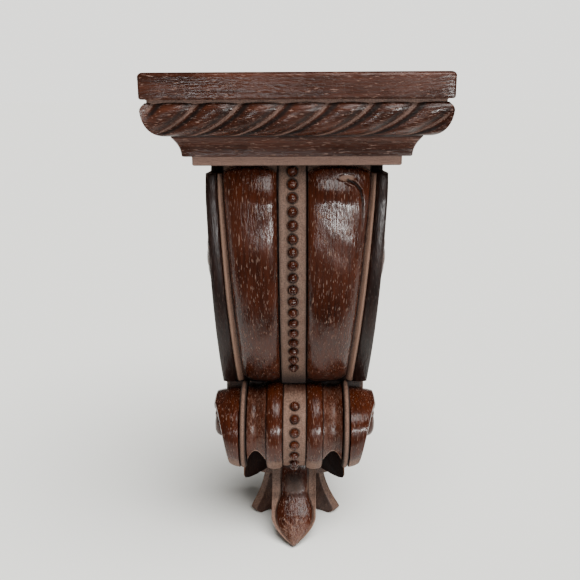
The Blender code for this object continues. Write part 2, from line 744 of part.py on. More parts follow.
def make_body(finish):
    body = solid("body", *loft(trunk_rings()), finish=finish)
    forms = [
        ("scroll", loft(scroll_rings())),
        ("eyes", join([eye(-1), eye(1)])),
        ("ears", join([ear(-1), ear(1)])),
        ("foot_leaves", join([foot_leaf(-1), foot_leaf(1)])),
        ("central_leaf", central_leaf()),
        ("side_leaves", join([
            side_leaf(side, LEAF_ROOT_DROP, LEAF_LENGTH, LEAF_WIDTH, LEAF_PROUD,
                      LEAF_ROOT_OUT, LEAF_END_OUT) for side in (-1, 1)])),
        ("small_leaves", join([
            side_leaf(side, LEAF_ROOT_DROP + LEAF_LENGTH - LEAF_LAP, SMALL_LEAF_LENGTH, SMALL_LEAF_WIDTH,
                      SMALL_LEAF_PROUD, SMALL_LEAF_ROOT_OUT, SMALL_LEAF_END_OUT) for side in (-1, 1)])),
        ("beads", join([bead(place, BEAD_RADIUS) for place in bead_places()])),
    ]
    for name, (points, faces) in forms:
        boolean(body, solid(name, points, faces, cutter=True), "UNION")
    boolean(body, wall, "DIFFERENCE")
    return body


for old in list(bpy.data.objects):
    bpy.data.objects.remove(old, do_unlink=True)

wall = box("wall", (-CAP_WIDTH, 0.0, TIP_Z - CAP_DEPTH), (CAP_WIDTH, 2 * CAP_DEPTH, CAP_TOP + CAP_DEPTH))
make_cap(material("dark wood, across", (0.060, 0.018, 0.012), 0.32))
make_body(material("dark wood, upright", (0.085, 0.022, 0.012), 0.28))
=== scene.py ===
# %% [markdown]
# A carved shelf corbel stands on a pale floor, as it does before it is hung. It is two glued pieces of
# dark stained wood: a moulded cap whose grain runs across, and a carved body whose grain runs down.
# The fixed frame gives the outline. This lesson repeats its rules with finer steps, so that the carving
# has crisp edges, and adds what a finish shows: lacquer, open pores, dull recesses, arrises made pale
# partly by wear and partly by painted highlight, and painted shade in cuts and hollows.

# %% Load the fixed frame
import math

import bmesh
import bpy
import numpy as np
from mathutils import Matrix, Vector


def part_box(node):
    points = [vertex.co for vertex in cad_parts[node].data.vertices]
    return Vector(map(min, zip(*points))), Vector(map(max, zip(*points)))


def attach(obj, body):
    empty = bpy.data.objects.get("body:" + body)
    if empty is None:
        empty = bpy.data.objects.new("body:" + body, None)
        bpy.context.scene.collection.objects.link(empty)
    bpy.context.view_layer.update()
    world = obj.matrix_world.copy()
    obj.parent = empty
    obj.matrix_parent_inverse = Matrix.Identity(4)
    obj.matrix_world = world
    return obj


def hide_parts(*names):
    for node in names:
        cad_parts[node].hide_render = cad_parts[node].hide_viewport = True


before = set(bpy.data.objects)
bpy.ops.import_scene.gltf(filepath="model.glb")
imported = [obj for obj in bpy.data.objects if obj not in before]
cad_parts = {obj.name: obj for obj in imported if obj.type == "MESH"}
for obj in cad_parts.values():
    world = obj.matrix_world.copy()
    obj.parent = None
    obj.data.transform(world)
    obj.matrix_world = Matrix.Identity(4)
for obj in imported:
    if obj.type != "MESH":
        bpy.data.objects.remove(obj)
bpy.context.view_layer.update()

cap_low, cap_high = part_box("cap")
body_low, body_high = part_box("body")

# %% [markdown]
# Every length is in metres. The cap's box and the body's box give the driving sizes, and the smaller
# ones are named in the cell that first needs them. "Out" is a distance from the wall, and "drop" is a
# distance below the top of the body. The carving leans a little to one side, as it does on the real
# piece, so all places below the seam pass through one function that adds the lean.

# %% Driving sizes and the place function
CAP_TOP = cap_high.z
CAP_WIDTH = cap_high.x - cap_low.x
CAP_DEPTH = -cap_low.y
BODY_TOP = body_high.z
TIP_Z = body_low.z
BODY_LEAN = -0.0027
HAIRLINE = 0.0003


def lerp(a, b, t):
    return a + (b - a) * t


def ease(t):
    t = np.clip(t, 0.0, 1.0)
    return t * t * (3 - 2 * t)


def dome(u, power=2.5):
    """A rounded crown over u from -1 to 1: 1 in the middle, 0 at the edges."""
    return np.maximum(0.0, 1.0 - np.abs(u) ** power) ** (1.0 / power)


def bump_at(t, centre, width):
    """A smooth hill of height 1 at the centre."""
    return np.exp(-((t - centre) / width) ** 2)


def climb(t, start, run):
    """0 up to the start, and 1 from a run further on."""
    return ease((t - start) / run)


def bunched(count, power):
    """Shares from 0 to 1 that stand closer together towards 1."""
    return 1 - (1 - np.linspace(0.0, 1.0, count)) ** power


def crowded_ends(count):
    """Places from -1 to 1 that stand closer together at both ends."""
    return np.sin(np.linspace(-np.pi / 2, np.pi / 2, count))


def place(x, out, z):
    """Points of the part's frame from x, distance from the wall and height, as arrays."""
    x, out, z = np.broadcast_arrays(x, out, z)
    lean = BODY_LEAN * np.maximum(0.0, BODY_TOP - z) / (BODY_TOP - TIP_Z)
    return np.stack([x + lean, -out, z], axis=-1)


print("cap", round(CAP_WIDTH * 1000, 1), "mm wide; leaf tips", round((CAP_TOP - TIP_Z) * 1000, 1), "mm below")

# %% [markdown]
# Each form is a shell through closed rings, with a fan of faces over each end, so it is watertight by
# design. Three marks ride on its points and steer the finish: "bare" where the lacquer is thin and the
# wood is dull and tan, "dim" where the colour is darkened, which is painted shade in cuts, creases,
# hollows and undersides and in a few places gathered stain as well, and a third mark that makes the
# colour pale, which is wear on some edges and a painted highlight on lit arrises, ridges and facets.

# %% Shells from rings
MARKS = ("bare", "dim", "worn_and_lit")
SHARP_DEGREES = 42
WELD = 0.000002


def strip(x, out, bare=0.0, dim=0.0, worn_and_lit=0.0):
    """A run of section points with its marks, as five rows."""
    return np.stack(np.broadcast_arrays(x, out, bare, dim, worn_and_lit)).astype(float)


def shell_faces(rows, count, first):
    """Quads between the rings, and a fan over each end."""
    row = np.arange(rows - 1)[:, None] * count
    here = np.arange(count)[None, :]
    after = (here + 1) % count
    quads = np.stack([row + here, row + after, row + count + after, row + count + here], axis=-1)
    faces = (quads.reshape(-1, 4) + first).tolist()
    hub = rows * count
    for start, centre in ((0, hub), ((rows - 1) * count, hub + 1)):
        fan = np.stack([start + here[0], start + after[0], np.full(count, centre)], axis=-1)
        faces += (fan + first).tolist()
    return faces


def carve(name, shells, finish, node):
    """One piece from shells, each a pair of ring points and marks, which then stands for a node."""
    points = []
    marks = []
    faces = []
    first = 0
    for rings, ring_marks in shells:
        rows, count = rings.shape[:2]
        ends = [rings[0].mean(axis=0), rings[-1].mean(axis=0)]
        end_marks = [ring_marks[0].mean(axis=0), ring_marks[-1].mean(axis=0)]
        points.append(np.concatenate([rings.reshape(-1, 3), ends]))
        marks.append(np.concatenate([ring_marks.reshape(-1, 3), end_marks]))
        faces += shell_faces(rows, count, first)
        first += rows * count + 2
    mesh = bpy.data.meshes.new(name)
    mesh.from_pydata(np.concatenate(points).tolist(), [], faces)
    values = np.concatenate(marks)
    for column, word in enumerate(MARKS):
        layer = mesh.attributes.new(word, "FLOAT", "POINT")
        layer.data.foreach_set("value", np.ascontiguousarray(values[:, column], dtype=np.float32))
    work = bmesh.new()
    work.from_mesh(mesh)
    bmesh.ops.remove_doubles(work, verts=work.verts, dist=WELD)
    bmesh.ops.recalc_face_normals(work, faces=work.faces)
    work.to_mesh(mesh)
    work.free()
    mesh.shade_smooth()
    mesh.set_sharp_from_angle(angle=math.radians(SHARP_DEGREES))
    mesh.materials.append(finish)
    made = bpy.data.objects.new(name, mesh)
    bpy.context.collection.objects.link(made)
    return settle(made, node)


def settle(piece, node):
    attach(piece, "root")
    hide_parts(node)
    print(piece.name, len(piece.data.polygons), "faces")
    return piece


# %% [markdown]
# The wood is one finish used three times: with its grain across for the cap, with it upright for the
# body, and once more, upright and dull, for the deep hollows. Raised work is stained dark red brown
# under lacquer. Recesses were never rubbed, so they are matte and tan. Open pores are short pale dashes
# along the grain, which turn to dark pits inside a highlight because they are rough. The pattern sits
# on Object coordinates. A Mapping node stretches it along the grain, and on the body in depth as well.

# %% The wood finish
PORE_ACROSS = 0.00050
PORE_ALONG = 0.0040
FIBRE_ACROSS = 0.0009
FIBRE_ALONG = 0.0050
STREAK_ACROSS = 0.0016
STREAK_ALONG = 0.040
PATCH_SIZE = 0.0035
MOTTLE_SIZE = 0.020
STIPPLE_SIZE = 0.00075
PALE = 1.60
LIGHT = 1.20
SHADOWED = 0.62
SHADE_AND_STAIN = 0.12
STIPPLE_AT_EDGES = 0.35
PATCHES_AT_EDGES = 0.6
BARE_ROUGHNESS = 0.46
PORE_ROUGHNESS = 0.30
DIM_ROUGHNESS = 0.25
ROUGHEST = 0.95
BUMP_DEPTH = 0.00022
LACQUER_SHINE = 0.29
UNRUBBED_SHINE = 0.05
DEPTH_AXIS = 1
CAP_DEPTH_STRETCH = 1.0
BODY_DEPTH_STRETCH = 3.2


def add(tree, kind, **settings):
    made = tree.nodes.new(kind)
    for key, value in settings.items():
        setattr(made, key, value)
    return made


def noise(tree, coordinates, across, along, grain, detail=2.0, roughness=0.5):
    """A noise with these sizes across and along the grain, which is an axis and a stretch in depth."""
    grain_axis, depth_stretch = grain
    spread = [1 / across] * 3
    spread[DEPTH_AXIS] = 1 / (across * depth_stretch)
    spread[grain_axis] = 1 / along
    mapping = add(tree, "ShaderNodeMapping")
    mapping.inputs["Scale"].default_value = spread
    grains = add(tree, "ShaderNodeTexNoise")
    grains.inputs["Scale"].default_value = 1.0
    grains.inputs["Detail"].default_value = detail
    grains.inputs["Roughness"].default_value = roughness
    tree.links.new(coordinates, mapping.inputs["Vector"])
    tree.links.new(mapping.outputs["Vector"], grains.inputs["Vector"])
    return grains.outputs["Fac"]


def between(tree, value, low, high, to_low=0.0, to_high=1.0):
    """Stretches the part of a value between low and high."""
    ramp = add(tree, "ShaderNodeMapRange", clamp=True, interpolation_type="SMOOTHSTEP")
    for name, number in (("From Min", low), ("From Max", high), ("To Min", to_low), ("To Max", to_high)):
        ramp.inputs[name].default_value = number
    tree.links.new(value, ramp.inputs["Value"])
    return ramp.outputs["Result"]


def maths(tree, operation, first, second):
    """Two numbers or sockets through one sum."""
    step = add(tree, "ShaderNodeMath", operation=operation)
    for socket, value in zip(step.inputs, (first, second)):
        if isinstance(value, (int, float)):
            socket.default_value = value
        else:
            tree.links.new(value, socket)
    return step.outputs["Value"]


def blend_colours(tree, share, first, second):
    """Mixes two colours, each a colour or a socket."""
    mix = add(tree, "ShaderNodeMix", data_type="RGBA")
    tree.links.new(share, mix.inputs["Factor"])
    for socket, value in zip((mix.inputs["A"], mix.inputs["B"]), (first, second)):
        colour_socket = [s for s in mix.inputs if s.name == socket.name and s.type == "RGBA"][0]
        if isinstance(value, tuple):
            colour_socket.default_value = (*value, 1.0)
        else:
            tree.links.new(value, colour_socket)
    return [s for s in mix.outputs if s.type == "RGBA"][0]


def mark(tree, word):
    return add(tree, "ShaderNodeAttribute", attribute_name=word).outputs["Fac"]


def weighed(tree, parts, total=None):
    """Adds sockets up, each times its weight, onto a total if there is one."""
    for value, weight in parts:
        part = maths(tree, "MULTIPLY", value, weight)
        total = part if total is None else maths(tree, "ADD", total, part)
    return total


def tinted(colour, by):
    """A colour made lighter or darker."""
    return tuple(min(1.0, channel * by) for channel in colour)


def wood(name, grain, stain, gloss, pore_cover=0.52, shine=LACQUER_SHINE):
    """Stained and lacquered wood. Its grain is an axis and how far the figure stretches in depth."""
    deep, warm, tan = stain
    made = bpy.data.materials.new(name)
    made.use_nodes = True
    tree = made.node_tree
    shader = tree.nodes["Principled BSDF"]
    shader.inputs["Specular IOR Level"].default_value = shine
    at = add(tree, "ShaderNodeTexCoord").outputs["Object"]
    pores = between(tree, noise(tree, at, PORE_ACROSS, PORE_ALONG, grain, 1.0), 0.640, 0.690)
    fibres = noise(tree, at, FIBRE_ACROSS, FIBRE_ALONG, grain, 2.0)
    streaks = noise(tree, at, STREAK_ACROSS, STREAK_ALONG, grain, 4.0, 0.6)
    mottle = noise(tree, at, MOTTLE_SIZE, MOTTLE_SIZE * 1.6, grain, 3.0)
    patches = noise(tree, at, PATCH_SIZE, PATCH_SIZE * 1.8, grain, 3.0, 0.6)
    stipple = noise(tree, at, STIPPLE_SIZE, STIPPLE_SIZE, grain, 2.0, 0.7)

    tone = weighed(tree, ((streaks, 0.6), (mottle, 0.6)))
    raised = blend_colours(tree, between(tree, tone, 0.30, 0.90), deep, warm)
    grit = between(tree, stipple, 0.35, 0.65)
    dull = blend_colours(tree, grit, tinted(tan, SHADOWED), tinted(tan, LIGHT))
    dull = blend_colours(tree, between(tree, patches, 0.45, 0.80, 0.0, 0.35), dull, warm)
    ragged = weighed(tree, ((maths(tree, "SUBTRACT", stipple, 0.5), STIPPLE_AT_EDGES),
                            (maths(tree, "SUBTRACT", patches, 0.5), PATCHES_AT_EDGES)))
    bare = between(tree, maths(tree, "ADD", mark(tree, "bare"), ragged), 0.25, 0.80)
    worn_and_lit = between(tree, maths(tree, "ADD", mark(tree, "worn_and_lit"), ragged), 0.25, 0.95, 0.0, 0.8)
    dim = between(tree, mark(tree, "dim"), 0.0, 1.0, 0.0, 0.88)
    colour = blend_colours(tree, bare, raised, dull)
    pale = tinted(tan, PALE)
    colour = blend_colours(tree, maths(tree, "MULTIPLY", pores, pore_cover), colour, pale)
    # Pale on worn edges, and a painted highlight on lit arrises, ridges and facets.
    colour = blend_colours(tree, worn_and_lit, colour, pale)
    # Painted shade: the dim mark darkens the colour almost to black in cuts, creases, hollows and undersides,
    # and in a few places it is gathered stain.
    colour = blend_colours(tree, dim, colour, tinted(deep, SHADE_AND_STAIN))
    tree.links.new(colour, shader.inputs["Base Color"])

    smooth = between(tree, mottle, 0.3, 0.7, gloss - 0.05, gloss + 0.06)
    rough = weighed(tree, ((bare, BARE_ROUGHNESS), (pores, PORE_ROUGHNESS), (dim, DIM_ROUGHNESS)), smooth)
    tree.links.new(maths(tree, "MINIMUM", rough, ROUGHEST), shader.inputs["Roughness"])

    rubble = maths(tree, "MULTIPLY", stipple, bare)
    height = weighed(tree, ((pores, -1.0), (fibres, 1.6), (streaks, 0.9), (rubble, 1.1)))
    bump = add(tree, "ShaderNodeBump")
    bump.inputs["Distance"].default_value = BUMP_DEPTH
    bump.inputs["Strength"].default_value = 0.8
    tree.links.new(height, bump.inputs["Height"])
    tree.links.new(bump.outputs["Normal"], shader.inputs["Normal"])
    return made


GRAIN_ACROSS = (0, CAP_DEPTH_STRETCH)
GRAIN_UPRIGHT = (2, BODY_DEPTH_STRETCH)
CAP_STAIN = ((0.013, 0.0038, 0.0020), (0.070, 0.018, 0.0075), (0.155, 0.088, 0.068))
BODY_STAIN = ((0.013, 0.0025, 0.0010), (0.062, 0.0120, 0.0030), (0.158, 0.090, 0.064))
cap_wood = wood("stained wood, grain across", GRAIN_ACROSS, CAP_STAIN, gloss=0.26, pore_cover=0.78)
body_wood = wood("stained wood, grain upright", GRAIN_UPRIGHT, BODY_STAIN, gloss=0.21)
hollow_wood = wood("stained wood, unrubbed", GRAIN_UPRIGHT, BODY_STAIN, gloss=0.40, shine=UNRUBBED_SHINE)
print("two finishes, grain across and upright, and a dull one for deep hollows")

# %% [markdown]
# The cap is a flat slab on a moulding, worked from one board. Its section is a list of set-backs and
# heights, and each level is one rounded rectangle that ends flat at the wall. Lofting the levels keeps
# the front corners in line, where a sweep along a path would pinch them. The slab has lacquer, the thin
# recess under it and the lower fillet are bare.

# %% Cap moulding
SLAB_HEIGHT = 0.0126
SLAB_ROUND = 0.0022
RECESS_HEIGHT = 0.0015
RECESS_SET_BACK = 0.0026
ROPE_HEIGHT = 0.0163
ROPE_RAKE = 0.0120
ROPE_SET_BACK = 0.0001
ROPE_LAP = 0.0005
ROPE_GROOVE = 0.0033
COVE_HEIGHT = 0.0103
COVE_RAKE = 0.0049
COVE_HOLLOW = 0.0012
STEP_BACK = 0.0045
FILLET_HEIGHT = 0.0053
ARRIS = 0.0005
CORNER_ROUND = 0.0014
CAP_POINTS = (12, 22)
RIM_HILL = (35, 25)


def cap_levels():
    """Set-back, height and marks of each level, from the slab's top down to the fillet's foot."""
    levels = []

    def level(set_back, z, bare=0.0, dim=0.0, worn_and_lit=0.0):
        levels.append((set_back, z, bare, dim, worn_and_lit))

    # The rounded top edge of the slab is painted darker, a painted shade, with a faint pale line on it.
    for angle in np.linspace(0, 90, 10):
        turn = math.radians(angle)
        rim = bump_at(angle, *RIM_HILL)
        level(SLAB_ROUND * (1 - math.sin(turn)), CAP_TOP - SLAB_ROUND * (1 - math.cos(turn)),
              dim=0.45 * rim, worn_and_lit=0.20 * rim)
    foot = CAP_TOP - SLAB_HEIGHT
    for share in np.linspace(0.1, 1.0, 8):
        level(0.0, lerp(CAP_TOP - SLAB_ROUND, foot + SLAB_ROUND / 2, share))
    for angle in np.linspace(20, 90, 5):
        turn = math.radians(angle)
        level(SLAB_ROUND / 2 * (1 - math.cos(turn)), foot + SLAB_ROUND / 2 * (1 - math.sin(turn)), bare=0.2)
    # Painted shade darkens the recess under the slab and the crease at the rope's foot.
    level(RECESS_SET_BACK, foot, bare=0.6, dim=0.5)
    level(RECESS_SET_BACK + ROPE_LAP, foot - HAIRLINE, bare=1.0)
    level(RECESS_SET_BACK + ROPE_LAP, foot - RECESS_HEIGHT, bare=1.0)
    foot = foot - RECESS_HEIGHT - ROPE_HEIGHT
    level(ROPE_RAKE + ROPE_GROOVE, foot + ROPE_GROOVE, dim=1.0)
    level(ROPE_RAKE + ROPE_LAP, foot + ROPE_LAP, dim=1.0)
    for share in np.linspace(0.06, 1.0, 14):
        set_back = ROPE_RAKE + COVE_RAKE * share + COVE_HOLLOW * math.sin(math.pi * share)
        shade = 0.6 * math.exp(-share / 0.10)
        level(set_back, foot - COVE_HEIGHT * share, bare=0.10, dim=shade, worn_and_lit=0.12)
    foot -= COVE_HEIGHT
    back = ROPE_RAKE + COVE_RAKE + STEP_BACK
    # Painted shade darkens the step under the cove and the fillet's foot, and the fillet is painted paler, a
    # painted light on its bare tan.
    level(back - STEP_BACK * 0.9, foot - HAIRLINE, dim=0.9)
    level(back, foot - HAIRLINE, bare=0.3, dim=0.9)
    for share in (0.15, 0.5, 0.88):
        level(back, foot - FILLET_HEIGHT * share, bare=1.0, worn_and_lit=0.78)
    level(back + ARRIS, foot - FILLET_HEIGHT, bare=1.0, dim=0.5)
    return levels


def rounded_ring(half, out, corner, points, z):
    """A rectangle at one height, its front corners rounded, with so many points aside and in front."""
    angles = np.radians(np.linspace(0, 90, 7))
    x = half - corner + corner * np.cos(angles)
    y = out - corner + corner * np.sin(angles)
    side = np.linspace(0.0, out - corner, points[0])[:-1]
    front = np.linspace(-half + corner, half - corner, points[1])[1:-1]
    xs = np.concatenate([np.full(side.size, -half), -x, front, x[::-1], np.full(side.size, half)])
    outs = np.concatenate([side, y, np.full(front.size, out), y[::-1], side[::-1]])
    return place(xs, outs, z)


def cap_moulding():
    levels = cap_levels()
    rings = np.stack([rounded_ring(CAP_WIDTH / 2 - set_back, CAP_DEPTH - set_back, CORNER_ROUND,
                                   CAP_POINTS, z) for set_back, z, *_ in levels])
    marks = np.stack([np.tile(level_marks, (rings.shape[1], 1)) for _, _, *level_marks in levels])
    return carve("cap_moulding", [(rings, marks)], cap_wood, "cap")


cap_moulding()

# %% [markdown]
# Under the slab runs a moulding carved as a rope. Its section is a fat quarter round, and slanting
# grooves part the strands. Rings that lean with the twist put their points along the grooves, so a
# groove stays crisp where an upright grid would make steps. At the mitres the rings are stopped and
# the grooves die out.

# %% Rope moulding
ROPE_FULLNESS = 2.5
TWIST_PITCH = 0.0212
TWIST_LEAN = 0.0300
TWIST_START = 0.0064
MITRE_RUN = 0.0050
STRAND_STEPS = 22
ROPE_ROWS = 30


def rope_section(share):
    """Set-back and height on the rope's round face, share 0 at its top and 1 at its foot."""
    turn = np.radians(90 * share)
    reach = np.maximum(0.0, np.cos(turn)) ** (2 / ROPE_FULLNESS)
    height = np.sin(turn) ** (2 / ROPE_FULLNESS)
    neck = (RECESS_SET_BACK - ROPE_SET_BACK) * np.maximum(0.0, 1 - height / 0.25) ** 2
    top = CAP_TOP - SLAB_HEIGHT - RECESS_HEIGHT
    return lerp(ROPE_RAKE, ROPE_SET_BACK, reach) + neck, top - ROPE_HEIGHT * height


def rope_ring(run, foot, phase):
    """One leaning ring and its marks: phases 0 and 1 are grooves."""
    share = np.linspace(0.0, 1.0, ROPE_ROWS)
    set_back, z = rope_section(share)
    along = foot + TWIST_LEAN * (1 - share)
    half = CAP_WIDTH / 2 - set_back
    out = CAP_DEPTH - set_back
    crown = abs(math.sin(math.pi * phase)) ** 0.95
    ends = np.sin(np.pi * lerp(0.05, 0.95, share)) ** 0.4
    core = ROPE_RAKE + 2 * ROPE_GROOVE
    core_z = (z[-1] + ROPE_GROOVE / 2, z[0] - ROPE_GROOVE / 2)
    core_along = np.array([foot, foot + TWIST_LEAN])
    if run == "front":
        x = np.clip(along, -half, half)
        fade = np.minimum(1.0, (half - np.abs(x)) / MITRE_RUN)
        ring = place(x, out - ROPE_GROOVE * (1 - crown) * ends * fade, z)
        core_half = CAP_WIDTH / 2 - core
        back = place(np.clip(core_along, -core_half, core_half), CAP_DEPTH - core, core_z)
    else:
        side = -1 if run == "left" else 1
        reach = np.clip(CAP_DEPTH - side * along, HAIRLINE, out)
        fade = np.clip((out - reach) / MITRE_RUN, 0.0, 1.0)
        ring = place(side * (half - ROPE_GROOVE * (1 - crown) * ends * fade), reach, z)
        core_reach = np.clip(CAP_DEPTH - side * core_along, HAIRLINE, CAP_DEPTH - core)
        back = place(side * (CAP_WIDTH / 2 - core), core_reach, core_z)
    # Each groove is a pale line of bare tan with a little painted highlight. Beside it runs a band of painted
    # shade, darker on one side of the groove, and the rope's foot is painted with shade too.
    near = min(phase, 1 - phase)
    groove = math.exp(-(near / 0.060) ** 2) * fade
    shade = math.exp(-((near - 0.17) / 0.09) ** 2) * (0.95 if phase < 0.5 else 0.60) * fade
    low = 0.85 * bump_at(share, 1.0, 0.20)
    marks = np.stack([groove, np.maximum(shade, low) * (1 - groove), 0.35 * groove], axis=-1)
    return np.concatenate([ring, back]), np.concatenate([marks, np.zeros((2, 3))])


def rope_moulding():
    half = CAP_WIDTH / 2
    spans = {"left": (-CAP_DEPTH, 0.0), "front": (-half, half), "right": (0.0, CAP_DEPTH)}
    phases = (1 - np.cos(np.pi * np.arange(STRAND_STEPS) / STRAND_STEPS)) / 2
    rings = []
    marks = []
    for run, (low, high) in spans.items():
        first = math.floor((low - TWIST_LEAN - TWIST_START) / TWIST_PITCH)
        last = math.ceil((high - TWIST_START) / TWIST_PITCH)
        for strand in range(first, last + 1):
            for phase in phases:
                ring, ring_marks = rope_ring(run, (strand + phase) * TWIST_PITCH + TWIST_START, phase)
                rings.append(ring)
                marks.append(ring_marks)
    return carve("rope_moulding", [(np.stack(rings), np.stack(marks))], cap_wood, "cap")


rope_moulding()

# %% [markdown]
# The body's front is one surface whose section changes as it goes down: a flat strip for the beads, a
# swelling lobe on each side of it, then a bare fillet and a glossy bead along the edge. It leans back
# at the shoulder and draws back again towards the scroll. A section function and a loop over the
# drops make it, and the same function gives the marks, so the finish follows the carving exactly.

# %% Body front
BODY_HEIGHT = 0.1355
BODY_INSET = 0.0268
BODY_TAPER = 0.0042
BODY_SET_BACK = 0.0200
SHOULDER_HEIGHT = 0.020
SHOULDER_DEPTH = 0.009
FULL_DROP = 0.037
RECESSION = 0.034
STRIP_HALF = 0.0072
STRIP_OFF_CENTRE = -0.0024
BORDER_TOP = 0.0097
BORDER_FOOT = 0.0142
BORDER_DROP = 0.0045
BORDER_HOLLOW = 0.0009
BORDER_RIDGE = 0.0008
EDGE_BEAD_SHARE = 0.66
EDGE_BEAD_RISE = 0.0022
EDGE_SINK = 0.0006
EDGE_ROUND = 0.0030
EDGE_STEP = 0.0062
LOBE_RISE = 0.0062
LOBE_SINK = 0.0004
LOBE_ARCH = 0.0034
LOBE_END = 0.0055
LOBE_FOOT_GAP = 0.0020
LOBE_QUIRK = 0.0009
QUIRK_DEPTH = 0.0009
NOTCH_HEIGHT = 0.0045
NOTCH_DEPTH = 0.0080
SIDE_INSET = 0.0016
BEAD_RADIUS = 0.0027
BEAD_PITCH = 0.0072
BEAD_ROW_STOP = 0.0140
BEAD_RING_RADIUS = 0.0028
BEAD_RING_WIDTH = 0.0006
BEAD_RING_DARK = 0.90
TRUNK_OUT = CAP_DEPTH - BODY_SET_BACK
TOP_HALF = CAP_WIDTH / 2 - BODY_INSET


def strip_out(drop):
    """How far the bead strip stands from the wall."""
    lean = np.maximum(0.0, 1 - drop / SHOULDER_HEIGHT) ** 1.8
    fall = np.maximum(0.0, (drop - FULL_DROP) / (BODY_HEIGHT - FULL_DROP))
    return TRUNK_OUT - SHOULDER_DEPTH * lean - RECESSION * fall ** 2


def body_half(drop):
    return TOP_HALF - BODY_TAPER * min(1.0, drop / BODY_HEIGHT)


def strip_centre(drop):
    return STRIP_OFF_CENTRE * np.maximum(0.0, 1 - drop / BODY_HEIGHT * 0.7)


def bead_drops():
    """Drops of the strip's beads, spaced evenly along its curve."""
    drop = np.linspace(BEAD_PITCH * 0.45, BODY_HEIGHT - BEAD_ROW_STOP, 400)
    run = np.concatenate([[0.0], np.cumsum(np.hypot(np.diff(drop), np.diff(strip_out(drop))))])
    return np.interp(np.linspace(0.0, run[-1], int(run[-1] / BEAD_PITCH) + 1), run, drop)


BEAD_DROPS = bead_drops()
print(BEAD_DROPS.size, "beads on the strip")


def lobe_end(drop, u):
    """Rounds a lobe off at its arched top and at its foot: 1 along its length, 0 past its ends."""
    from_top = (drop - LOBE_ARCH * np.abs(u) ** 2.5) / (LOBE_END * 0.4)
    from_foot = (BODY_HEIGHT - LOBE_FOOT_GAP - LOBE_ARCH * np.abs(u) ** 4 - drop) / LOBE_END
    near = np.clip(np.minimum(from_top, from_foot), 0.0, 1.0)
    return np.sqrt(np.maximum(0.0, 1 - (1 - near) ** 2))


# %% [markdown]
# The right lobe has been struck near its top: a pale chip and, from it, a long curved cut. Both stay.
# The cut is a groove along a short chain of places on the lobe, given as x and drop.

# %% The cut and the chip on the right lobe
CUT_DEPTH = 0.0011
CUT_HALF = 0.00065
CUT_PLACES = np.array([(0.0265, 0.0072), (0.0305, 0.0090), (0.0335, 0.0125), (0.0348, 0.0190),
                       (0.0352, 0.0280), (0.0345, 0.0420)])
CHIP_MIDDLE = (0.0262, 0.0062)
CHIP_SIZE = (0.0042, 0.0017)
CHIP_DEPTH = 0.0008


def away_from_cut(x, drop):
    """Distance from the cut's chain, and the share of the way along it."""
    best = np.full(x.shape, 1.0)
    along = np.zeros(x.shape)
    steps = len(CUT_PLACES) - 1
    for k in range(steps):
        start = CUT_PLACES[k]
        run = CUT_PLACES[k + 1] - start
        share = np.clip(((x - start[0]) * run[0] + (drop - start[1]) * run[1]) / (run @ run), 0.0, 1.0)
        distance = np.hypot(x - start[0] - share * run[0], drop - start[1] - share * run[1])
        closer = distance < best
        best = np.where(closer, distance, best)
        along = np.where(closer, (k + share) / steps, along)
    return best, along


def damage(x, drop):
    """Depth, dimness and paleness of the cut and the chip at places on the right lobe."""
    distance, along = away_from_cut(x, drop)
    cut = np.exp(-(distance / CUT_HALF) ** 2) * (1 - 0.75 * ease((along - 0.45) / 0.55))
    burr = np.exp(-((distance - 2 * CUT_HALF) / CUT_HALF) ** 2) * (along < 0.5)
    reach = ((x - CHIP_MIDDLE[0]) / CHIP_SIZE[0]) ** 2 + ((drop - CHIP_MIDDLE[1]) / CHIP_SIZE[1]) ** 2
    chip = np.exp(-reach ** 2)
    return CUT_DEPTH * cut - 0.25 * CUT_DEPTH * burr + CHIP_DEPTH * chip, cut, np.maximum(chip, 0.4 * burr)


print("the cut has", len(CUT_PLACES), "places")

# %% [markdown]
# The section runs outwards from the middle of the strip. The notches at the top of both borders are
# where the edge beads stop short of the cap, and they are painted dark as shade.

# %% One section of the body
LOBE_STEPS = 64
RIPPLE = 0.00010
FOOT_SHADE_HEIGHT = 0.020
LOBE_TOP_REACH = 0.012
STRIP_SIDE_CLIMB = (0.78, 0.22)
LOBE_SIDE_CLIMB = (0.965, 0.035)
TOP_RIM_HILL = (0.50, 0.28)
RIDGE_HILL = (0.72, 0.20)
HOLLOW_HILL = (0.22, 0.20)
FILLET_CLEFT_HILL = (0.0, 0.22)
FILLET_BARE_CLIMB = (0.12, 0.32)
FILLET_HIGHLIGHT_HILL = (0.64, 0.30)
EDGE_BEAD_DIM = 0.70


def foot_shade(drop):
    """0 along the body, and up to 1 at its foot above the scroll, where it paints shade."""
    return ease((drop - BODY_HEIGHT + FOOT_SHADE_HEIGHT) / FOOT_SHADE_HEIGHT)


def strip_run(drop, inner, centre, face):
    """Half of the flat strip and the quirk beside it. The dark rings round the beads, the darker strip edges
    and the dark quirk are painted shade, and the rings are partly stain.
    """
    t = np.linspace(0.04, 1.0, 14)
    from_bead = np.hypot(inner * t - centre, np.abs(BEAD_DROPS - drop).min())
    ring = BEAD_RING_DARK * bump_at(from_bead, BEAD_RING_RADIUS, BEAD_RING_WIDTH)
    dim = np.maximum(np.maximum(ring, 0.75 * foot_shade(drop)), 0.55 * climb(t, *STRIP_SIDE_CLIMB))
    flat = strip(inner * t, face, 1.0, dim)
    t = np.linspace(0.2, 1.0, 4)
    quirk = strip(inner + LOBE_QUIRK * t * 0.8, face - QUIRK_DEPTH * np.sin(np.pi * t * 0.7), dim=1.0)
    return [flat, quirk]


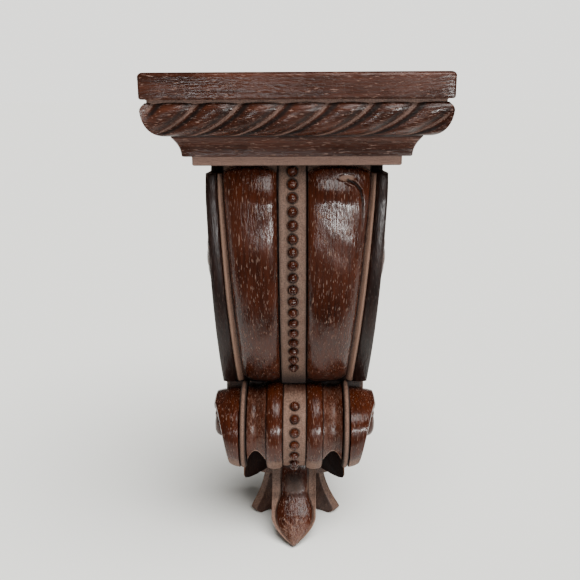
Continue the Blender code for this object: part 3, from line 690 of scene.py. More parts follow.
def lobe_run(drop, side, inner, outer, face):
    """A swelling lobe with a faint hand-cut ripple, and on the right the chip and the cut."""
    u = crowded_ends(LOBE_STEPS)
    x = lerp(inner + LOBE_QUIRK, outer, (u + 1) / 2)
    end = lobe_end(drop, u)
    slope = lerp(LOBE_SINK, BORDER_DROP, (u + 1) / 2)
    ripple = RIPPLE * (np.sin(drop * 210 + 2.6 * u + side) + np.sin(drop * 345 - 4.1 * u + 2 * side))
    depth, cut, pale = damage(x, drop) if side > 0 else (0.0, 0.0, 0.0)
    rise = (LOBE_RISE * dome(u) + ripple - depth) * end
    # The pale rim along a lobe's arched top is partly wear and partly painted highlight. Its dark sides and
    # dark foot are painted shade.
    top_rim = bump_at(end, *TOP_RIM_HILL) * (drop < LOBE_TOP_REACH)
    foot_dim = 0.70 * foot_shade(drop) + 0.3 * (1 - ease(end / 0.6)) * (drop > LOBE_TOP_REACH)
    bare = np.maximum((1 - ease(end / 0.45)) * (drop < LOBE_TOP_REACH), 0.9 * pale)
    dim = np.maximum(np.maximum(0.75 * climb(np.abs(u), *LOBE_SIDE_CLIMB), cut), foot_dim)
    return [strip(x, face - slope + rise, bare, dim, np.maximum(0.8 * top_rim, pale))]


def border_run(drop, half, border, face):
    """The bare fillet and the edge bead, which stops short of the cap, then the side to the wall."""
    outer = half - border
    bead = border * EDGE_BEAD_SHARE
    edge = outer + border - bead
    notch = 1 - ease((drop - NOTCH_HEIGHT + HAIRLINE) / (2 * HAIRLINE))
    back = face - BORDER_DROP - NOTCH_DEPTH * notch
    pinch = (SIDE_INSET + HAIRLINE) * notch

    t = np.linspace(0.05, 0.95, 13)
    moulded = BORDER_RIDGE * bump_at(t, *RIDGE_HILL) - BORDER_HOLLOW * bump_at(t, *HOLLOW_HILL)
    # Painted shade darkens the notch and the cleft beside the lobe. The fillet's pale ridge is a painted
    # highlight on bare tan.
    dim = np.maximum(notch, 0.80 * bump_at(t, *FILLET_CLEFT_HILL))
    bare = 0.35 + 0.60 * climb(t, *FILLET_BARE_CLIMB)
    worn_and_lit = 0.95 * bump_at(t, *FILLET_HIGHLIGHT_HILL)
    runs = [strip(lerp(outer, edge, t) - pinch * t, back + moulded, bare, dim, worn_and_lit)]
    runs.append(strip(np.array([edge - pinch]), back - EDGE_SINK, dim=1.0))

    turn = np.radians(np.linspace(12, 150, 18))
    x = edge + bead / 2 * (1 - np.cos(turn)) - pinch
    out = back - EDGE_SINK + EDGE_BEAD_RISE * np.sin(turn)
    # The edge bead is painted darker than the other raised wood.
    bead_dim = max(notch, EDGE_BEAD_DIM)
    runs.append(strip(x, out, dim=bead_dim))
    runs.append(strip(np.array([half - pinch]), back - EDGE_ROUND, dim=bead_dim))

    t = np.linspace(0.0, 1.0, 9)
    x = np.full(t.size, half - max(SIDE_INSET, pinch))
    runs.append(strip(x, lerp(back - EDGE_STEP, 0.0, t), bare=0.55, dim=0.1))
    return runs


def half_section(drop, side):
    """One half of the front at one drop, from the strip out to the wall: x, out and marks."""
    half = body_half(drop)
    centre = side * strip_centre(drop)
    inner = STRIP_HALF + centre
    border = lerp(BORDER_TOP, BORDER_FOOT, min(1.0, drop / BODY_HEIGHT))
    face = strip_out(drop)
    runs = strip_run(drop, inner, centre, face)
    runs += lobe_run(drop, side, inner, half - border, face)
    runs += border_run(drop, half, border, face)
    return np.concatenate(runs, axis=1)


def body_drops():
    """Drops of the rings: close together where a form ends, wider apart along it."""
    top = np.linspace(0.0, 0.0130, 60)
    middle = np.linspace(0.0130, BODY_HEIGHT - 0.0110, 200)[1:]
    foot = np.linspace(BODY_HEIGHT - 0.0110, BODY_HEIGHT, 36)[1:]
    return np.concatenate([top, middle, foot])


def body_front():
    rings = []
    marks = []
    for drop in body_drops():
        left = half_section(drop, -1)
        right = half_section(drop, 1)
        left[0] *= -1
        section = np.concatenate([left[:, ::-1], right], axis=1)
        rings.append(place(section[0], section[1], BODY_TOP - drop))
        marks.append(section[2:].T)
    return carve("body_front", [(np.stack(rings), np.stack(marks))], body_wood, "body")


body_front()

# %% [markdown]
# The strip carries a row of small round beads, which goes on round the scroll below. Geometry Nodes
# suit them: a curve along the strip is resampled at the bead pitch, and a small sphere stands at each
# point, with a size that varies a little, as hand-cut beads do. The result is made real and baked.

# %% Bead path
BEAD_PROUD = 0.0005
SCROLL_RADIUS = 0.0280
SCROLL_SET_BACK = 0.0100
SCROLL_BEADS_FROM = 46.0
SCROLL_BEADS_TO = -72.0
REED_RISE = 0.0024
SCROLL_OUT = TRUNK_OUT - SCROLL_SET_BACK - SCROLL_RADIUS
SCROLL_Z = BODY_TOP - BODY_HEIGHT - SCROLL_RADIUS
SCROLL_FOOT = SCROLL_Z - SCROLL_RADIUS


def round_the_scroll(x, reach, turn):
    """Points at a reach and an angle about the scroll's centre."""
    return place(x, SCROLL_OUT + reach * np.cos(turn), SCROLL_Z + reach * np.sin(turn))


def strip_path():
    """Bead centres' line down the strip, and round the front of the scroll."""
    drop = np.linspace(BEAD_PITCH * 0.45, BODY_HEIGHT - BEAD_ROW_STOP, 90)
    down = place(strip_centre(drop), strip_out(drop) + BEAD_PROUD, BODY_TOP - drop)
    turn = np.radians(np.linspace(SCROLL_BEADS_FROM, SCROLL_BEADS_TO, 60))
    return down, round_the_scroll(0.0, SCROLL_RADIUS - REED_RISE / 2 + BEAD_PROUD, turn)


def path_object(name, lines):
    """A curve object with one open line for each list of points."""
    curve = bpy.data.curves.new(name, "CURVE")
    curve.dimensions = "3D"
    for line in lines:
        spline = curve.splines.new("POLY")
        spline.points.add(len(line) - 1)
        for point, co in zip(spline.points, line):
            point.co = (*co, 1.0)
    made = bpy.data.objects.new(name, curve)
    bpy.context.collection.objects.link(made)
    return made


# %% Bead nodes
def bead_tree(finish):
    """Beads at a pitch along a curve, as a Geometry Nodes tree with named inputs."""
    tree = bpy.data.node_groups.new("beads along a strip", "GeometryNodeTree")
    face = tree.interface
    face.new_socket("Geometry", in_out="INPUT", socket_type="NodeSocketGeometry")
    for name, value in (("Bead pitch", BEAD_PITCH), ("Bead radius", BEAD_RADIUS)):
        face.new_socket(name, in_out="INPUT", socket_type="NodeSocketFloat").default_value = value
    face.new_socket("Seed", in_out="INPUT", socket_type="NodeSocketInt").default_value = 7
    face.new_socket("Geometry", in_out="OUTPUT", socket_type="NodeSocketGeometry")
    entry = add(tree, "NodeGroupInput")
    leave = add(tree, "NodeGroupOutput")
    spaced = add(tree, "GeometryNodeResampleCurve", mode="LENGTH")
    ball = add(tree, "GeometryNodeMeshIcoSphere")
    ball.inputs["Subdivisions"].default_value = 4
    sizes = add(tree, "FunctionNodeRandomValue", data_type="FLOAT")
    sizes.inputs[2].default_value = 0.95
    sizes.inputs[3].default_value = 1.03
    stand = add(tree, "GeometryNodeInstanceOnPoints")
    real = add(tree, "GeometryNodeRealizeInstances")
    smooth = add(tree, "GeometryNodeSetShadeSmooth")
    stain = add(tree, "GeometryNodeSetMaterial")
    stain.inputs["Material"].default_value = finish
    join = tree.links.new
    join(entry.outputs["Geometry"], spaced.inputs["Curve"])
    join(entry.outputs["Bead pitch"], spaced.inputs["Length"])
    join(entry.outputs["Bead radius"], ball.inputs["Radius"])
    join(entry.outputs["Seed"], sizes.inputs["Seed"])
    join(spaced.outputs["Curve"], stand.inputs["Points"])
    join(ball.outputs["Mesh"], stand.inputs["Instance"])
    join(sizes.outputs[1], stand.inputs["Scale"])
    join(stand.outputs["Instances"], real.inputs["Geometry"])
    join(real.outputs["Geometry"], smooth.inputs["Geometry"])
    join(smooth.outputs["Geometry"], stain.inputs["Geometry"])
    join(stain.outputs["Geometry"], leave.inputs["Geometry"])
    return tree


def bake(source, tree, name, sizes):
    """Runs a tree on an object with these sizes and keeps the result as a plain mesh."""
    change = source.modifiers.new(tree.name, "NODES")
    change.node_group = tree
    sockets = {item.name: item.identifier for item in tree.interface.items_tree if item.in_out == "INPUT"}
    for word, value in sizes.items():
        change[sockets[word]] = value
    bpy.context.view_layer.update()
    ready = source.evaluated_get(bpy.context.evaluated_depsgraph_get())
    mesh = bpy.data.meshes.new_from_object(ready)
    mesh.name = name
    source.modifiers.remove(change)
    bpy.data.objects.remove(source, do_unlink=True)
    made = bpy.data.objects.new(name, mesh)
    bpy.context.collection.objects.link(made)
    return made


beads = bake(path_object("strip line", strip_path()), bead_tree(body_wood), "beads",
             {"Bead pitch": BEAD_PITCH, "Bead radius": BEAD_RADIUS, "Seed": 7})
settle(beads, "body")

# %% [markdown]
# Below the lobes the front rolls up into a scroll. Going outwards from the bead strip it has a round
# reed, a hollow flute, a thin rib and a broad outer band. Each is a column wound round the scroll's
# centre, so the shell's rings run round the roll and its rows run across it. The flutes end in open
# arches under the roll, and the side faces carry a spiral step.

# %% Scroll columns
SCROLL_HALF_TOP = 0.0494
SCROLL_HALF_FOOT = 0.0400
REED_WIDTH = 0.0098
FLUTE_WIDTH = 0.0115
RIB_WIDTH = 0.0032
RIB_RISE = 0.0010
FLUTE_DEPTH = 0.0028
QUIRK_CUT = 0.0030
MOULD_STEP = 0.0008
BAND_FALL = 0.0055
BAND_SLOPE = 0.0022
BAND_ARRIS = 0.0016
FLUTE_END_DEG = -22.0
FLUTE_ARCH_DEG = 14.0
FLUTE_UNDERCUT = 0.0085
WIND_FROM = 130.0
WIND_STEPS = 220
GROUND = -REED_RISE / 2
NARROW_FROM_DEG = 60
NARROW_RUN_DEG = 130
NARROW_POWER = 1.9
UNDER_CLIMB = (16, 26)
OVER_CLIMB = (52, 22)
BAND_FALL_CLIMB = (15, 65)
ARCH_SOFT_DEG = 2.2
LIP_HILL = (-1.2, 1.6)
RIB_SIDE_CLIMB = (0.40, 0.45)
BAND_ARRIS_CLIMB = (0.93, 0.07)
BAND_WORN_HILL = (0.98, 0.03)
BEAD_ARC = math.radians(SCROLL_BEADS_FROM - SCROLL_BEADS_TO) * (SCROLL_RADIUS - REED_RISE / 2 + BEAD_PROUD)
SCROLL_BEADS_AT = np.linspace(SCROLL_BEADS_FROM, SCROLL_BEADS_TO, int(BEAD_ARC / BEAD_PITCH) + 1)


def scroll_strip(side, angle):
    """Half of the bead strip and the quirk beside it. The dark rings round the beads, the darker strip edges
    and the dark quirk are painted shade, and the rings are partly stain.
    """
    t = np.linspace(0.0, 1.0, 14)
    round_it = np.radians(np.abs(SCROLL_BEADS_AT - angle).min()) * SCROLL_RADIUS
    ring = BEAD_RING_DARK * bump_at(np.hypot(side * t, round_it), BEAD_RING_RADIUS, BEAD_RING_WIDTH)
    bare = 1 - 0.5 * float(climb(angle, *OVER_CLIMB))
    flat = strip(side * t, GROUND, bare, np.maximum(ring, 0.35 * climb(t, 0.85, 0.15)))
    t = np.linspace(0.3, 1.0, 3)
    return [flat, strip(side + HAIRLINE * t * 1.5, GROUND - 2 * HAIRLINE, bare=0.4, dim=0.9)]


def scroll_reed(x, under):
    """A round reed with painted shade on its sides, paler and tan under the roll as a painted sheen of the
    floor.
    """
    u = crowded_ends(26)
    rise = GROUND + REED_RISE * dome(u, 2.2) - HAIRLINE
    dim = 0.75 * climb(np.abs(u), 0.90, 0.10)
    return [strip(x + REED_WIDTH * (u + 1) / 2, rise, 0.90 * under, dim, 0.3 * under)]


def scroll_flute(x, angle, under):
    """A hollow flute between two cuts, which ends in an open arch. The dark in the cuts and inside the arch
    is painted shade, and the pale lip is partly wear and partly painted highlight.
    """
    t = np.linspace(0.02, 0.98, 28)
    arch = FLUTE_END_DEG - FLUTE_ARCH_DEG * (2 * t - 1) ** 2
    past = ease((arch - angle) / ARCH_SOFT_DEG)
    hollow = GROUND - FLUTE_DEPTH * np.sin(np.pi * t ** 1.3) - MOULD_STEP - FLUTE_UNDERCUT * past
    lip = bump_at(arch - angle, *LIP_HILL)
    bare = np.maximum(0.36, under) * (1 - past)
    return [strip(np.array([x]), GROUND - MOULD_STEP, dim=1.0),
            strip(x + FLUTE_WIDTH * t, hollow, bare, past, 0.9 * lip),
            strip(np.array([x + FLUTE_WIDTH + HAIRLINE]), GROUND - QUIRK_CUT, dim=1.0)]


def scroll_rib(x):
    """A thin rib, bare on its crown, with painted shade on its sides."""
    t = np.linspace(0.0, 1.0, 10)
    rise = GROUND + HAIRLINE + RIB_RISE * np.sin(np.pi * t)
    dim = 0.12 + 0.70 * climb(np.abs(2 * t - 1), *RIB_SIDE_CLIMB)
    return [strip(x + MOULD_STEP + RIB_WIDTH * t, rise, 0.75, dim, 0.35 * np.sin(np.pi * t))]


def scroll_band(x, edge, angle, under):
    """A cut and the broad outer band, which falls away over the roll's top."""
    t = np.concatenate([np.linspace(0.03, 0.90, 22), np.linspace(0.92, 1.0, 7)])
    crown = GROUND + MOULD_STEP - BAND_FALL * climb(angle, *BAND_FALL_CLIMB)
    fall = BAND_SLOPE * t ** 2 + BAND_ARRIS * climb(t, *BAND_ARRIS_CLIMB) ** 2
    worn_and_lit = np.maximum(0.45 * bump_at(t, *BAND_WORN_HILL), 0.3 * under)
    return [strip(np.array([x + HAIRLINE]), GROUND - QUIRK_CUT * 0.7, dim=1.0),
            strip(lerp(x + 2 * HAIRLINE, edge, t), crown - fall, bare=0.9 * under, worn_and_lit=worn_and_lit)]


def scroll_columns(angle):
    """Across half of the scroll: x, the change of radius, and marks, from the strip to the edge."""
    wound = np.clip((NARROW_FROM_DEG - angle) / NARROW_RUN_DEG, 0.0, 1.0)
    edge = lerp(SCROLL_HALF_TOP, SCROLL_HALF_FOOT, 1 - (1 - wound) ** NARROW_POWER)
    # Under the roll the reeds, flutes and bands are painted paler and tan: a painted sheen of the pale floor
    # below.
    under = float(climb(-angle, *UNDER_CLIMB))
    side = STRIP_HALF - 2 * HAIRLINE
    runs = scroll_strip(side, angle)
    x = side + 2 * HAIRLINE
    runs += scroll_reed(x, under)
    x += REED_WIDTH + HAIRLINE
    runs += scroll_flute(x, angle, under)
    x += FLUTE_WIDTH
    runs += scroll_rib(x)
    x += RIB_WIDTH + MOULD_STEP
    runs += scroll_band(x, edge, angle, under)
    return np.concatenate(runs, axis=1)


# %% [markdown]
# Rings that run in from the band's edge close each side of the scroll. Between two radii that shrink as
# the roll winds they are let in a little, and that makes the spiral step.

# %% Scroll sides
SPIRAL_CUT = 0.0018
SPIRAL_OUTER = (0.88, 0.59)
SPIRAL_INNER = (0.57, 0.38)
SPIRAL_SOFT = 0.03
SPIRAL_FLANK = 0.02


def side_faces(angles, edge_x, edge_radius, side):
    """Rings from the outer band's edge in to the centre of the side face, with a spiral step."""
    wound = (WIND_FROM - angles) / (2 * WIND_FROM)
    outer = lerp(*SPIRAL_OUTER, wound)
    inner = lerp(*SPIRAL_INNER, wound)
    rings = []
    marks = []
    for share in np.linspace(0.985, 0.16, 52):
        let_in = ease((outer - share) / SPIRAL_SOFT) * (1 - ease((inner - share) / SPIRAL_SOFT))
        x = edge_x - SPIRAL_CUT * let_in
        rings.append(round_the_scroll(side * x, edge_radius * share, np.radians(angles)))
        # Painted shade darkens the flanks of the spiral step.
        flank = np.maximum(bump_at(share, outer - SPIRAL_SOFT, SPIRAL_FLANK),
                           bump_at(share, inner, SPIRAL_FLANK))
        marks.append(np.stack([0.45 + 0.3 * let_in, 0.8 * flank, np.zeros(angles.size)], axis=-1))
    return rings, marks


def scroll():
    angles = np.linspace(WIND_FROM, -WIND_FROM, WIND_STEPS)
    turn = np.radians(angles)
    rows = [scroll_columns(angle) for angle in angles]
    grid = np.stack(rows)
    rings = []
    marks = []
    for side in (-1, 1):
        columns = []
        column_marks = []
        start = 1 if side < 0 else 0
        for column in range(start, grid.shape[2]):
            reach = SCROLL_RADIUS + grid[:, 1, column]
            columns.append(place(side * grid[:, 0, column], SCROLL_OUT + reach * np.cos(turn),
                                 SCROLL_Z + reach * np.sin(turn)))
            column_marks.append(grid[:, 2:, column])
        faces, face_marks = side_faces(angles, grid[:, 0, -1], SCROLL_RADIUS + grid[:, 1, -1], side)
        columns += faces
        column_marks += face_marks
        rings += columns[::-1] if side < 0 else columns
        marks += column_marks[::-1] if side < 0 else column_marks
    return carve("scroll", [(np.stack(rings), np.stack(marks))], body_wood, "body")


scroll()

# %% [markdown]
# At the centre of each side face sits a turned boss on a low disc. A profile turned about the scroll's
# axis gives it, closed at both ends.

# %% Scroll bosses
EYE_RADIUS = 0.0080
EYE_REACH = 0.0500
EYE_ROOT = 0.0040
EYE_SIDES = 64


def boss(side):
    """Rings of a boss, from inside the scroll out to its crown."""
    shares = [(0.0, 1.45), (0.57, 1.45), (0.62, 1.40), (0.64, 1.30), (0.645, 1.12), (0.66, 1.05)]
    shares += [(lerp(0.66, 1.0, math.sin(angle)), 1.05 * math.cos(angle) ** 0.7 + 0.02)
               for angle in np.radians(np.linspace(8, 84, 14))]
    angle = np.linspace(0, 2 * np.pi, EYE_SIDES, endpoint=False)
    rings = []
    marks = []
    for reach_share, radius_share in shares:
        x = lerp(SCROLL_HALF_FOOT - EYE_ROOT, EYE_REACH, reach_share)
        radius = EYE_RADIUS * radius_share
        rings.append(place(side * x, SCROLL_OUT + radius * np.cos(angle), SCROLL_Z + radius * np.sin(angle)))
        # Painted shade darkens the corner where the crown rises from its disc.
        dim = 0.9 if 0.63 < reach_share < 0.67 else 0.25
        marks.append(np.tile((0.35, dim, 0.0), (EYE_SIDES, 1)))
    return np.stack(rings), np.stack(marks)


carve("scroll_bosses", [boss(-1), boss(1)], body_wood, "body")

# %% [markdown]
# Behind the scroll a plain block carries everything back to the wall and narrows to the stem of the leaf
# drop. It is hidden from the front and plain from the side, so its section is only a rounded rectangle.

# %% Block behind the scroll
BLOCK_OUT = 0.0360
BLOCK_FOOT_DROP = 0.0120
STEM_HALF = 0.0125
STEM_OUT = BLOCK_OUT * 0.8
STEM_FOOT_RISE = 0.0140
BLOCK_ROUND = 0.0030
BLOCK_POINTS = (10, 12)
BLOCK_MARKS = (0.55, 0.25, 0.0)


def back_block():
    foot_half = body_half(BODY_HEIGHT) - SIDE_INSET
    top = BODY_TOP - BODY_HEIGHT
    rings = []
    for share in bunched(60, 1.8):
        half = lerp(STEM_HALF, foot_half, dome(share, 3.0))
        z = lerp(top, SCROLL_FOOT - BLOCK_FOOT_DROP, share)
        rings.append(rounded_ring(half, BLOCK_OUT, BLOCK_ROUND, BLOCK_POINTS, z))
    rings.append(rounded_ring(STEM_HALF, STEM_OUT, BLOCK_ROUND, BLOCK_POINTS, TIP_Z + STEM_FOOT_RISE))
    rings = np.stack(rings)
    marks = np.tile(BLOCK_MARKS, (*rings.shape[:2], 1))
    return carve("back_block", [(rings, marks)], body_wood, "body")


back_block()

# %% [markdown]
# The drop's middle leaf springs from under the scroll, comes forward and ends in a point. Its curve is a
# cubic through named places. Over its flat flanges stand a small bud and, below it, a pointed blade. It
# is a grid of points, so heights can be given as functions of the length and the width of the leaf.

# %% Middle leaf
LEAF_HALF = 0.0140
LEAF_THICK = 0.0090
LEAF_TIP_THICK = 0.0020
LEAF_TIP_OUT = 0.0730
LEAF_NECK_OUT = 0.0400
LEAF_NECK_RISE = 0.0080
LEAF_NECK_SET_BACK = 0.0020
BLADE_RISE = 0.0034
BUD_RISE = 0.0023
BUD_AT = 0.40
BLADE_FROM = 0.46
RIM_RISE = 0.0005


def cubic(p0, p1, p2, p3, t):
    weights = ((1 - t) ** 3, 3 * t * (1 - t) ** 2, 3 * t * t * (1 - t), t ** 3)
    return sum(w * np.array(p) for w, p in zip(weights, (p0, p1, p2, p3)))


def leaf_spine(s):
    """The middle leaf's curve, as out and height."""
    neck = (LEAF_NECK_OUT - LEAF_NECK_SET_BACK, SCROLL_FOOT + LEAF_NECK_RISE)
    tip = (LEAF_TIP_OUT - LEAF_TIP_THICK, TIP_Z + LEAF_TIP_THICK)
    down = (LEAF_NECK_OUT, lerp(neck[1], tip[1], 0.40))
    turn = (lerp(LEAF_NECK_OUT, tip[0], 0.52), lerp(neck[1], tip[1], 0.72))
    return cubic(neck, down, turn, tip, s)


def middle_leaf():
    t = np.concatenate([[-1.0], np.linspace(-0.97, 0.97, 71), [1.0]])
    rings = []
    marks = []
    for s in np.linspace(0.0, 1.0, 130):
        out, z = leaf_spine(s)
        run = leaf_spine(s + 0.01) - leaf_spine(s - 0.01)
        normal = np.array([-run[1], run[0]]) / np.hypot(*run)
        pointed = max(0.0, (s - 0.72) / 0.28)
        half = LEAF_HALF * (1 - 0.93 * pointed ** 1.7)
        opened = float(ease((s - BLADE_FROM) / 0.22))
        blade_half = lerp(0.62, 0.84, opened)
        crest = BLADE_RISE * lerp(0.62, 1.0, opened)
        blade = crest * dome((t - 0.03) / blade_half, 2.2) * (1 - 0.55 * pointed)
        bud = BUD_RISE * math.exp(-((s - BUD_AT) / 0.09) ** 2) * dome(t / 0.60, 2.0)
        rim = RIM_RISE * bump_at(np.abs(t), 0.97, 0.05) * (1 - pointed)
        lift = blade + bud + rim
        edge_on = lift < RIM_RISE * 1.4
        crease = bump_at(np.abs(t - 0.03), blade_half, 0.06)
        waves = np.sin(t / max(0.3, 1 - pointed) * 11 + 6 * s + 2.2 * np.sin(13 * s + 5 * t))
        lines = 0.5 * ease((np.abs(waves) - 0.55) / 0.45) * (np.abs(t) < 0.62) * ease((s - 0.66) / 0.10)
        # The pale facet on the bud's right is a painted highlight. The darker lumps on the bud, the creases
        # along the blade, the neck under the scroll and the band under the bud are painted shade.
        facet = bump_at(t, 0.66 - 0.9 * max(0.0, s - BUD_AT), 0.09) * math.exp(-((s - BUD_AT) / 0.11) ** 4)
        lumps = bump_at(t, 0.0, 0.55) * math.exp(-((s - BUD_AT + 0.01) / 0.12) ** 4) * (1 - facet)
        bare = np.where(edge_on, 0.95, 0.10 + 0.14 * opened + 0.30 * pointed + 0.50 * lumps)
        under_bud = 0.45 * math.exp(-((s - BUD_AT - 0.11) / 0.05) ** 2)
        shade = max(0.95 * float(ease((0.28 - s) / 0.14)), under_bud)
        dim = np.maximum(np.maximum(0.7 * crease * (1 - pointed), shade), 0.72 * lumps)
        worn_and_lit = np.maximum(0.85 * facet, lines)
        front = place(half * t, out + lift * normal[0], z + lift * normal[1])
        thick = lerp(LEAF_THICK, LEAF_TIP_THICK, s)
        back_t = np.array([0.96, 0.8, 0.6, 0.0, -0.6, -0.8, -0.96])
        back_depth = thick * np.array([0.4, 0.75, 1.0, 1.0, 1.0, 0.75, 0.4])
        back = place(half * back_t, out - back_depth * normal[0], z - back_depth * normal[1])
        rings.append(np.concatenate([front, back]))
        front_marks = np.stack([bare, dim, worn_and_lit], axis=-1)
        marks.append(np.concatenate([front_marks, np.tile((0.6, 0.3, 0.0), (back_t.size, 1))]))
    return carve("middle_leaf", [(np.stack(rings), np.stack(marks))], body_wood, "body")


middle_leaf()

# %% [markdown]
# A smaller leaf stands on each side of it, a stem that flares to a foot with a rounded outer corner. A
# ridge runs down its face, with a lit bevel outside the ridge and a dark hollow inside it. Its outer
# flank draws in towards the wall, and the right leaf spreads a little further than the left one.

# %% Side leaves of the drop
FOOT_HALF_SPREAD = 0.0290
FOOT_INNER_SPREAD = 0.0150
FOOT_STEM_OUTER = 0.0190
FOOT_STEM_INNER = 0.0080
FOOT_OUT = 0.0340
FOOT_CROWN = 0.0035
FOOT_ROUND = 0.0018
FOOT_CORNER = 0.40
FOOT_RIGHT_EXTRA = 0.0022
FOOT_FLANK_HALF = 0.0165
RIDGE_AT = 0.42


def foot_leaf(side):
    spread = FOOT_HALF_SPREAD + FOOT_RIGHT_EXTRA * (side > 0)
    u = np.concatenate([np.linspace(-1.0, RIDGE_AT, 16), np.linspace(RIDGE_AT, 1.0, 14)[1:]])
    inside = np.clip((RIDGE_AT - u) / (1 + RIDGE_AT), 0.0, 1.0)
    outside = np.clip((u - RIDGE_AT) / (1 - RIDGE_AT), 0.0, 1.0)
    rings = []
    marks = []
    for s in 1 - (1 - np.linspace(0.0, 1.0, 110)) ** 1.6:
        z = lerp(SCROLL_FOOT + LEAF_TIP_THICK, TIP_Z, s)
        flare = min(1.0, max(0.0, (s - 0.22) / 0.70) ** 1.9)
        outer = lerp(FOOT_STEM_OUTER, spread, flare)
        inner = lerp(FOOT_STEM_INNER, FOOT_INNER_SPREAD, flare)
        under = max(0.0, (s - 0.86) / 0.14)
        cut_in = 1 - math.sqrt(max(0.0, 1 - under ** 2))
        outer -= (outer - inner) * FOOT_CORNER * cut_in
        half = (outer - inner) / 2
        middle = (outer + inner) / 2
        front = FOOT_OUT * lerp(0.92, 1.0, flare) - FOOT_ROUND * cut_in
        hollow = FOOT_CROWN * (1.2 * inside ** 0.8) + FOOT_CROWN * outside ** 1.4
        face = place(side * (middle + half * u), front - hollow, z)
        wall = np.linspace(0.0, 1.0, 9)
        at_wall = max(middle - half * 0.5, min(middle + half, FOOT_FLANK_HALF))
        flank = lerp(middle + half, at_wall, wall[1:])
        outer_side = place(side * flank, lerp(front - hollow[-1], HAIRLINE, wall[1:]), z)
        inner_side = place(side * (middle - half), lerp(front - hollow[0], HAIRLINE, wall[:0:-1]), z)
        rings.append(np.concatenate([face, outer_side, inner_side]))
        # The paler bevel outside the ridge is a painted sheen of the floor. The darker hollow inside it and
        # the leaf's top under the scroll are painted shade.
        bare = np.where(u > RIDGE_AT, 0.65, 0.45)
        dim = lerp(0.46, 0.24, ease((u - RIDGE_AT + 0.1) / 0.2)) + 0.5 * float(ease((0.12 - s) / 0.12))
        worn_and_lit = 0.35 * bump_at(u, RIDGE_AT, 0.08)
        face_marks = np.stack([bare, np.minimum(1.0, dim), worn_and_lit], axis=-1)
        marks.append(np.concatenate([face_marks, np.tile((0.6, 0.25, 0.0), (16, 1))]))
    return np.stack(rings), np.stack(marks)


carve("drop_side_leaves", [foot_leaf(-1), foot_leaf(1)], body_wood, "body")

# %% [markdown]
# Under each flute's open arch hangs a short curled lobe. Its face is a hollow, painted almost black as
# shade, and only its outer edge is pale.

# %% Ears under the flutes
EAR_HALF_SPREAD = 0.0320
EAR_SPLAY = 0.0015
EAR_INNER = 0.0100
EAR_TIP_WIDTH = 0.0045
EAR_RISE = 0.0220
EAR_DROP = 0.0068
EAR_TOP_OUT = 0.0600
EAR_TIP_OUT = 0.0500
EAR_THICK = 0.0240
EAR_TIP_THICK = 0.0050
EAR_HOLLOW = 0.0060


def ear(side):
    u = np.linspace(-1.0, 1.0, 25)
    rings = []
    marks = []
    for s in 1 - (1 - np.linspace(0.0, 1.0, 60)) ** 1.5:
        z = lerp(SCROLL_FOOT + EAR_RISE, SCROLL_FOOT - EAR_DROP, s)
        outer = lerp(EAR_HALF_SPREAD - EAR_SPLAY, EAR_HALF_SPREAD, s)
        narrow = max(0.0, (s - 0.45) / 0.55) ** 1.2
        inner = lerp(EAR_INNER, EAR_HALF_SPREAD - EAR_TIP_WIDTH, narrow)
        closing = 0.30 + 0.70 * math.sqrt(max(0.0, 1 - max(0.0, (s - 0.88) / 0.12) ** 2))
        half = (outer - inner) / 2 * closing
        middle = (outer + inner) / 2
        front = lerp(EAR_TOP_OUT, EAR_TIP_OUT, s)
        thick = lerp(EAR_THICK, EAR_TIP_THICK, s)
        hollow = EAR_HOLLOW * (1 - s ** 2) * (1 - u ** 2) + HAIRLINE * (u < 0)
        face = place(side * (middle + half * u), front - hollow, z)
        sides = np.array([1.0, 1.0, 1.0, -1.0, -1.0, -1.0])
        depth = thick * np.array([0.25, 0.6, 1.0, 1.0, 0.6, 0.25])
        back = place(side * (middle + half * sides), front - depth, z)
        rings.append(np.concatenate([face, back]))
        rim = bump_at(u, 1.0, 0.15)
        # Painted shade: the face is darkened almost to black, all but its pale outer edge.
        face_marks = np.stack([0.9 * rim, 1.0 - 0.75 * rim, 0.8 * rim], axis=-1)
        marks.append(np.concatenate([face_marks, np.tile((0.5, 0.25, 0.0), (6, 1))]))
    return np.stack(rings), np.stack(marks)


carve("ears", [ear(-1), ear(1)], hollow_wood, "body")

# %% [markdown]
# An acanthus leaf hangs down each side of the body, with a smaller one below it. From the front only
# their turned-out edges show. A leaf is a grid laid on the side: its outline swells and has teeth, a
# midrib and side veins are cut into it, and its lower end stands clear of the side.

# %% Leaves on the sides
LEAF_ROOT_DROP = 0.0080
LEAF_LENGTH = 0.0600
LEAF_WIDTH = 0.0400
LEAF_PROUD = 0.0066
LEAF_ROOT_OUT = 0.0360
LEAF_END_OUT = 0.0600
LEAF_EDGE = 0.0012
LEAF_SINK = 0.0030
SMALL_LEAF_LENGTH = 0.0480
SMALL_LEAF_WIDTH = 0.0270
SMALL_LEAF_PROUD = 0.0036
SMALL_LEAF_ROOT_OUT = 0.0340
SMALL_LEAF_END_OUT = 0.0460
LEAF_LAP = 0.0060
LEAF_TIP_CURL = 0.55
VEIN_DEPTH = 0.0007
LEAF_LOBES = 3


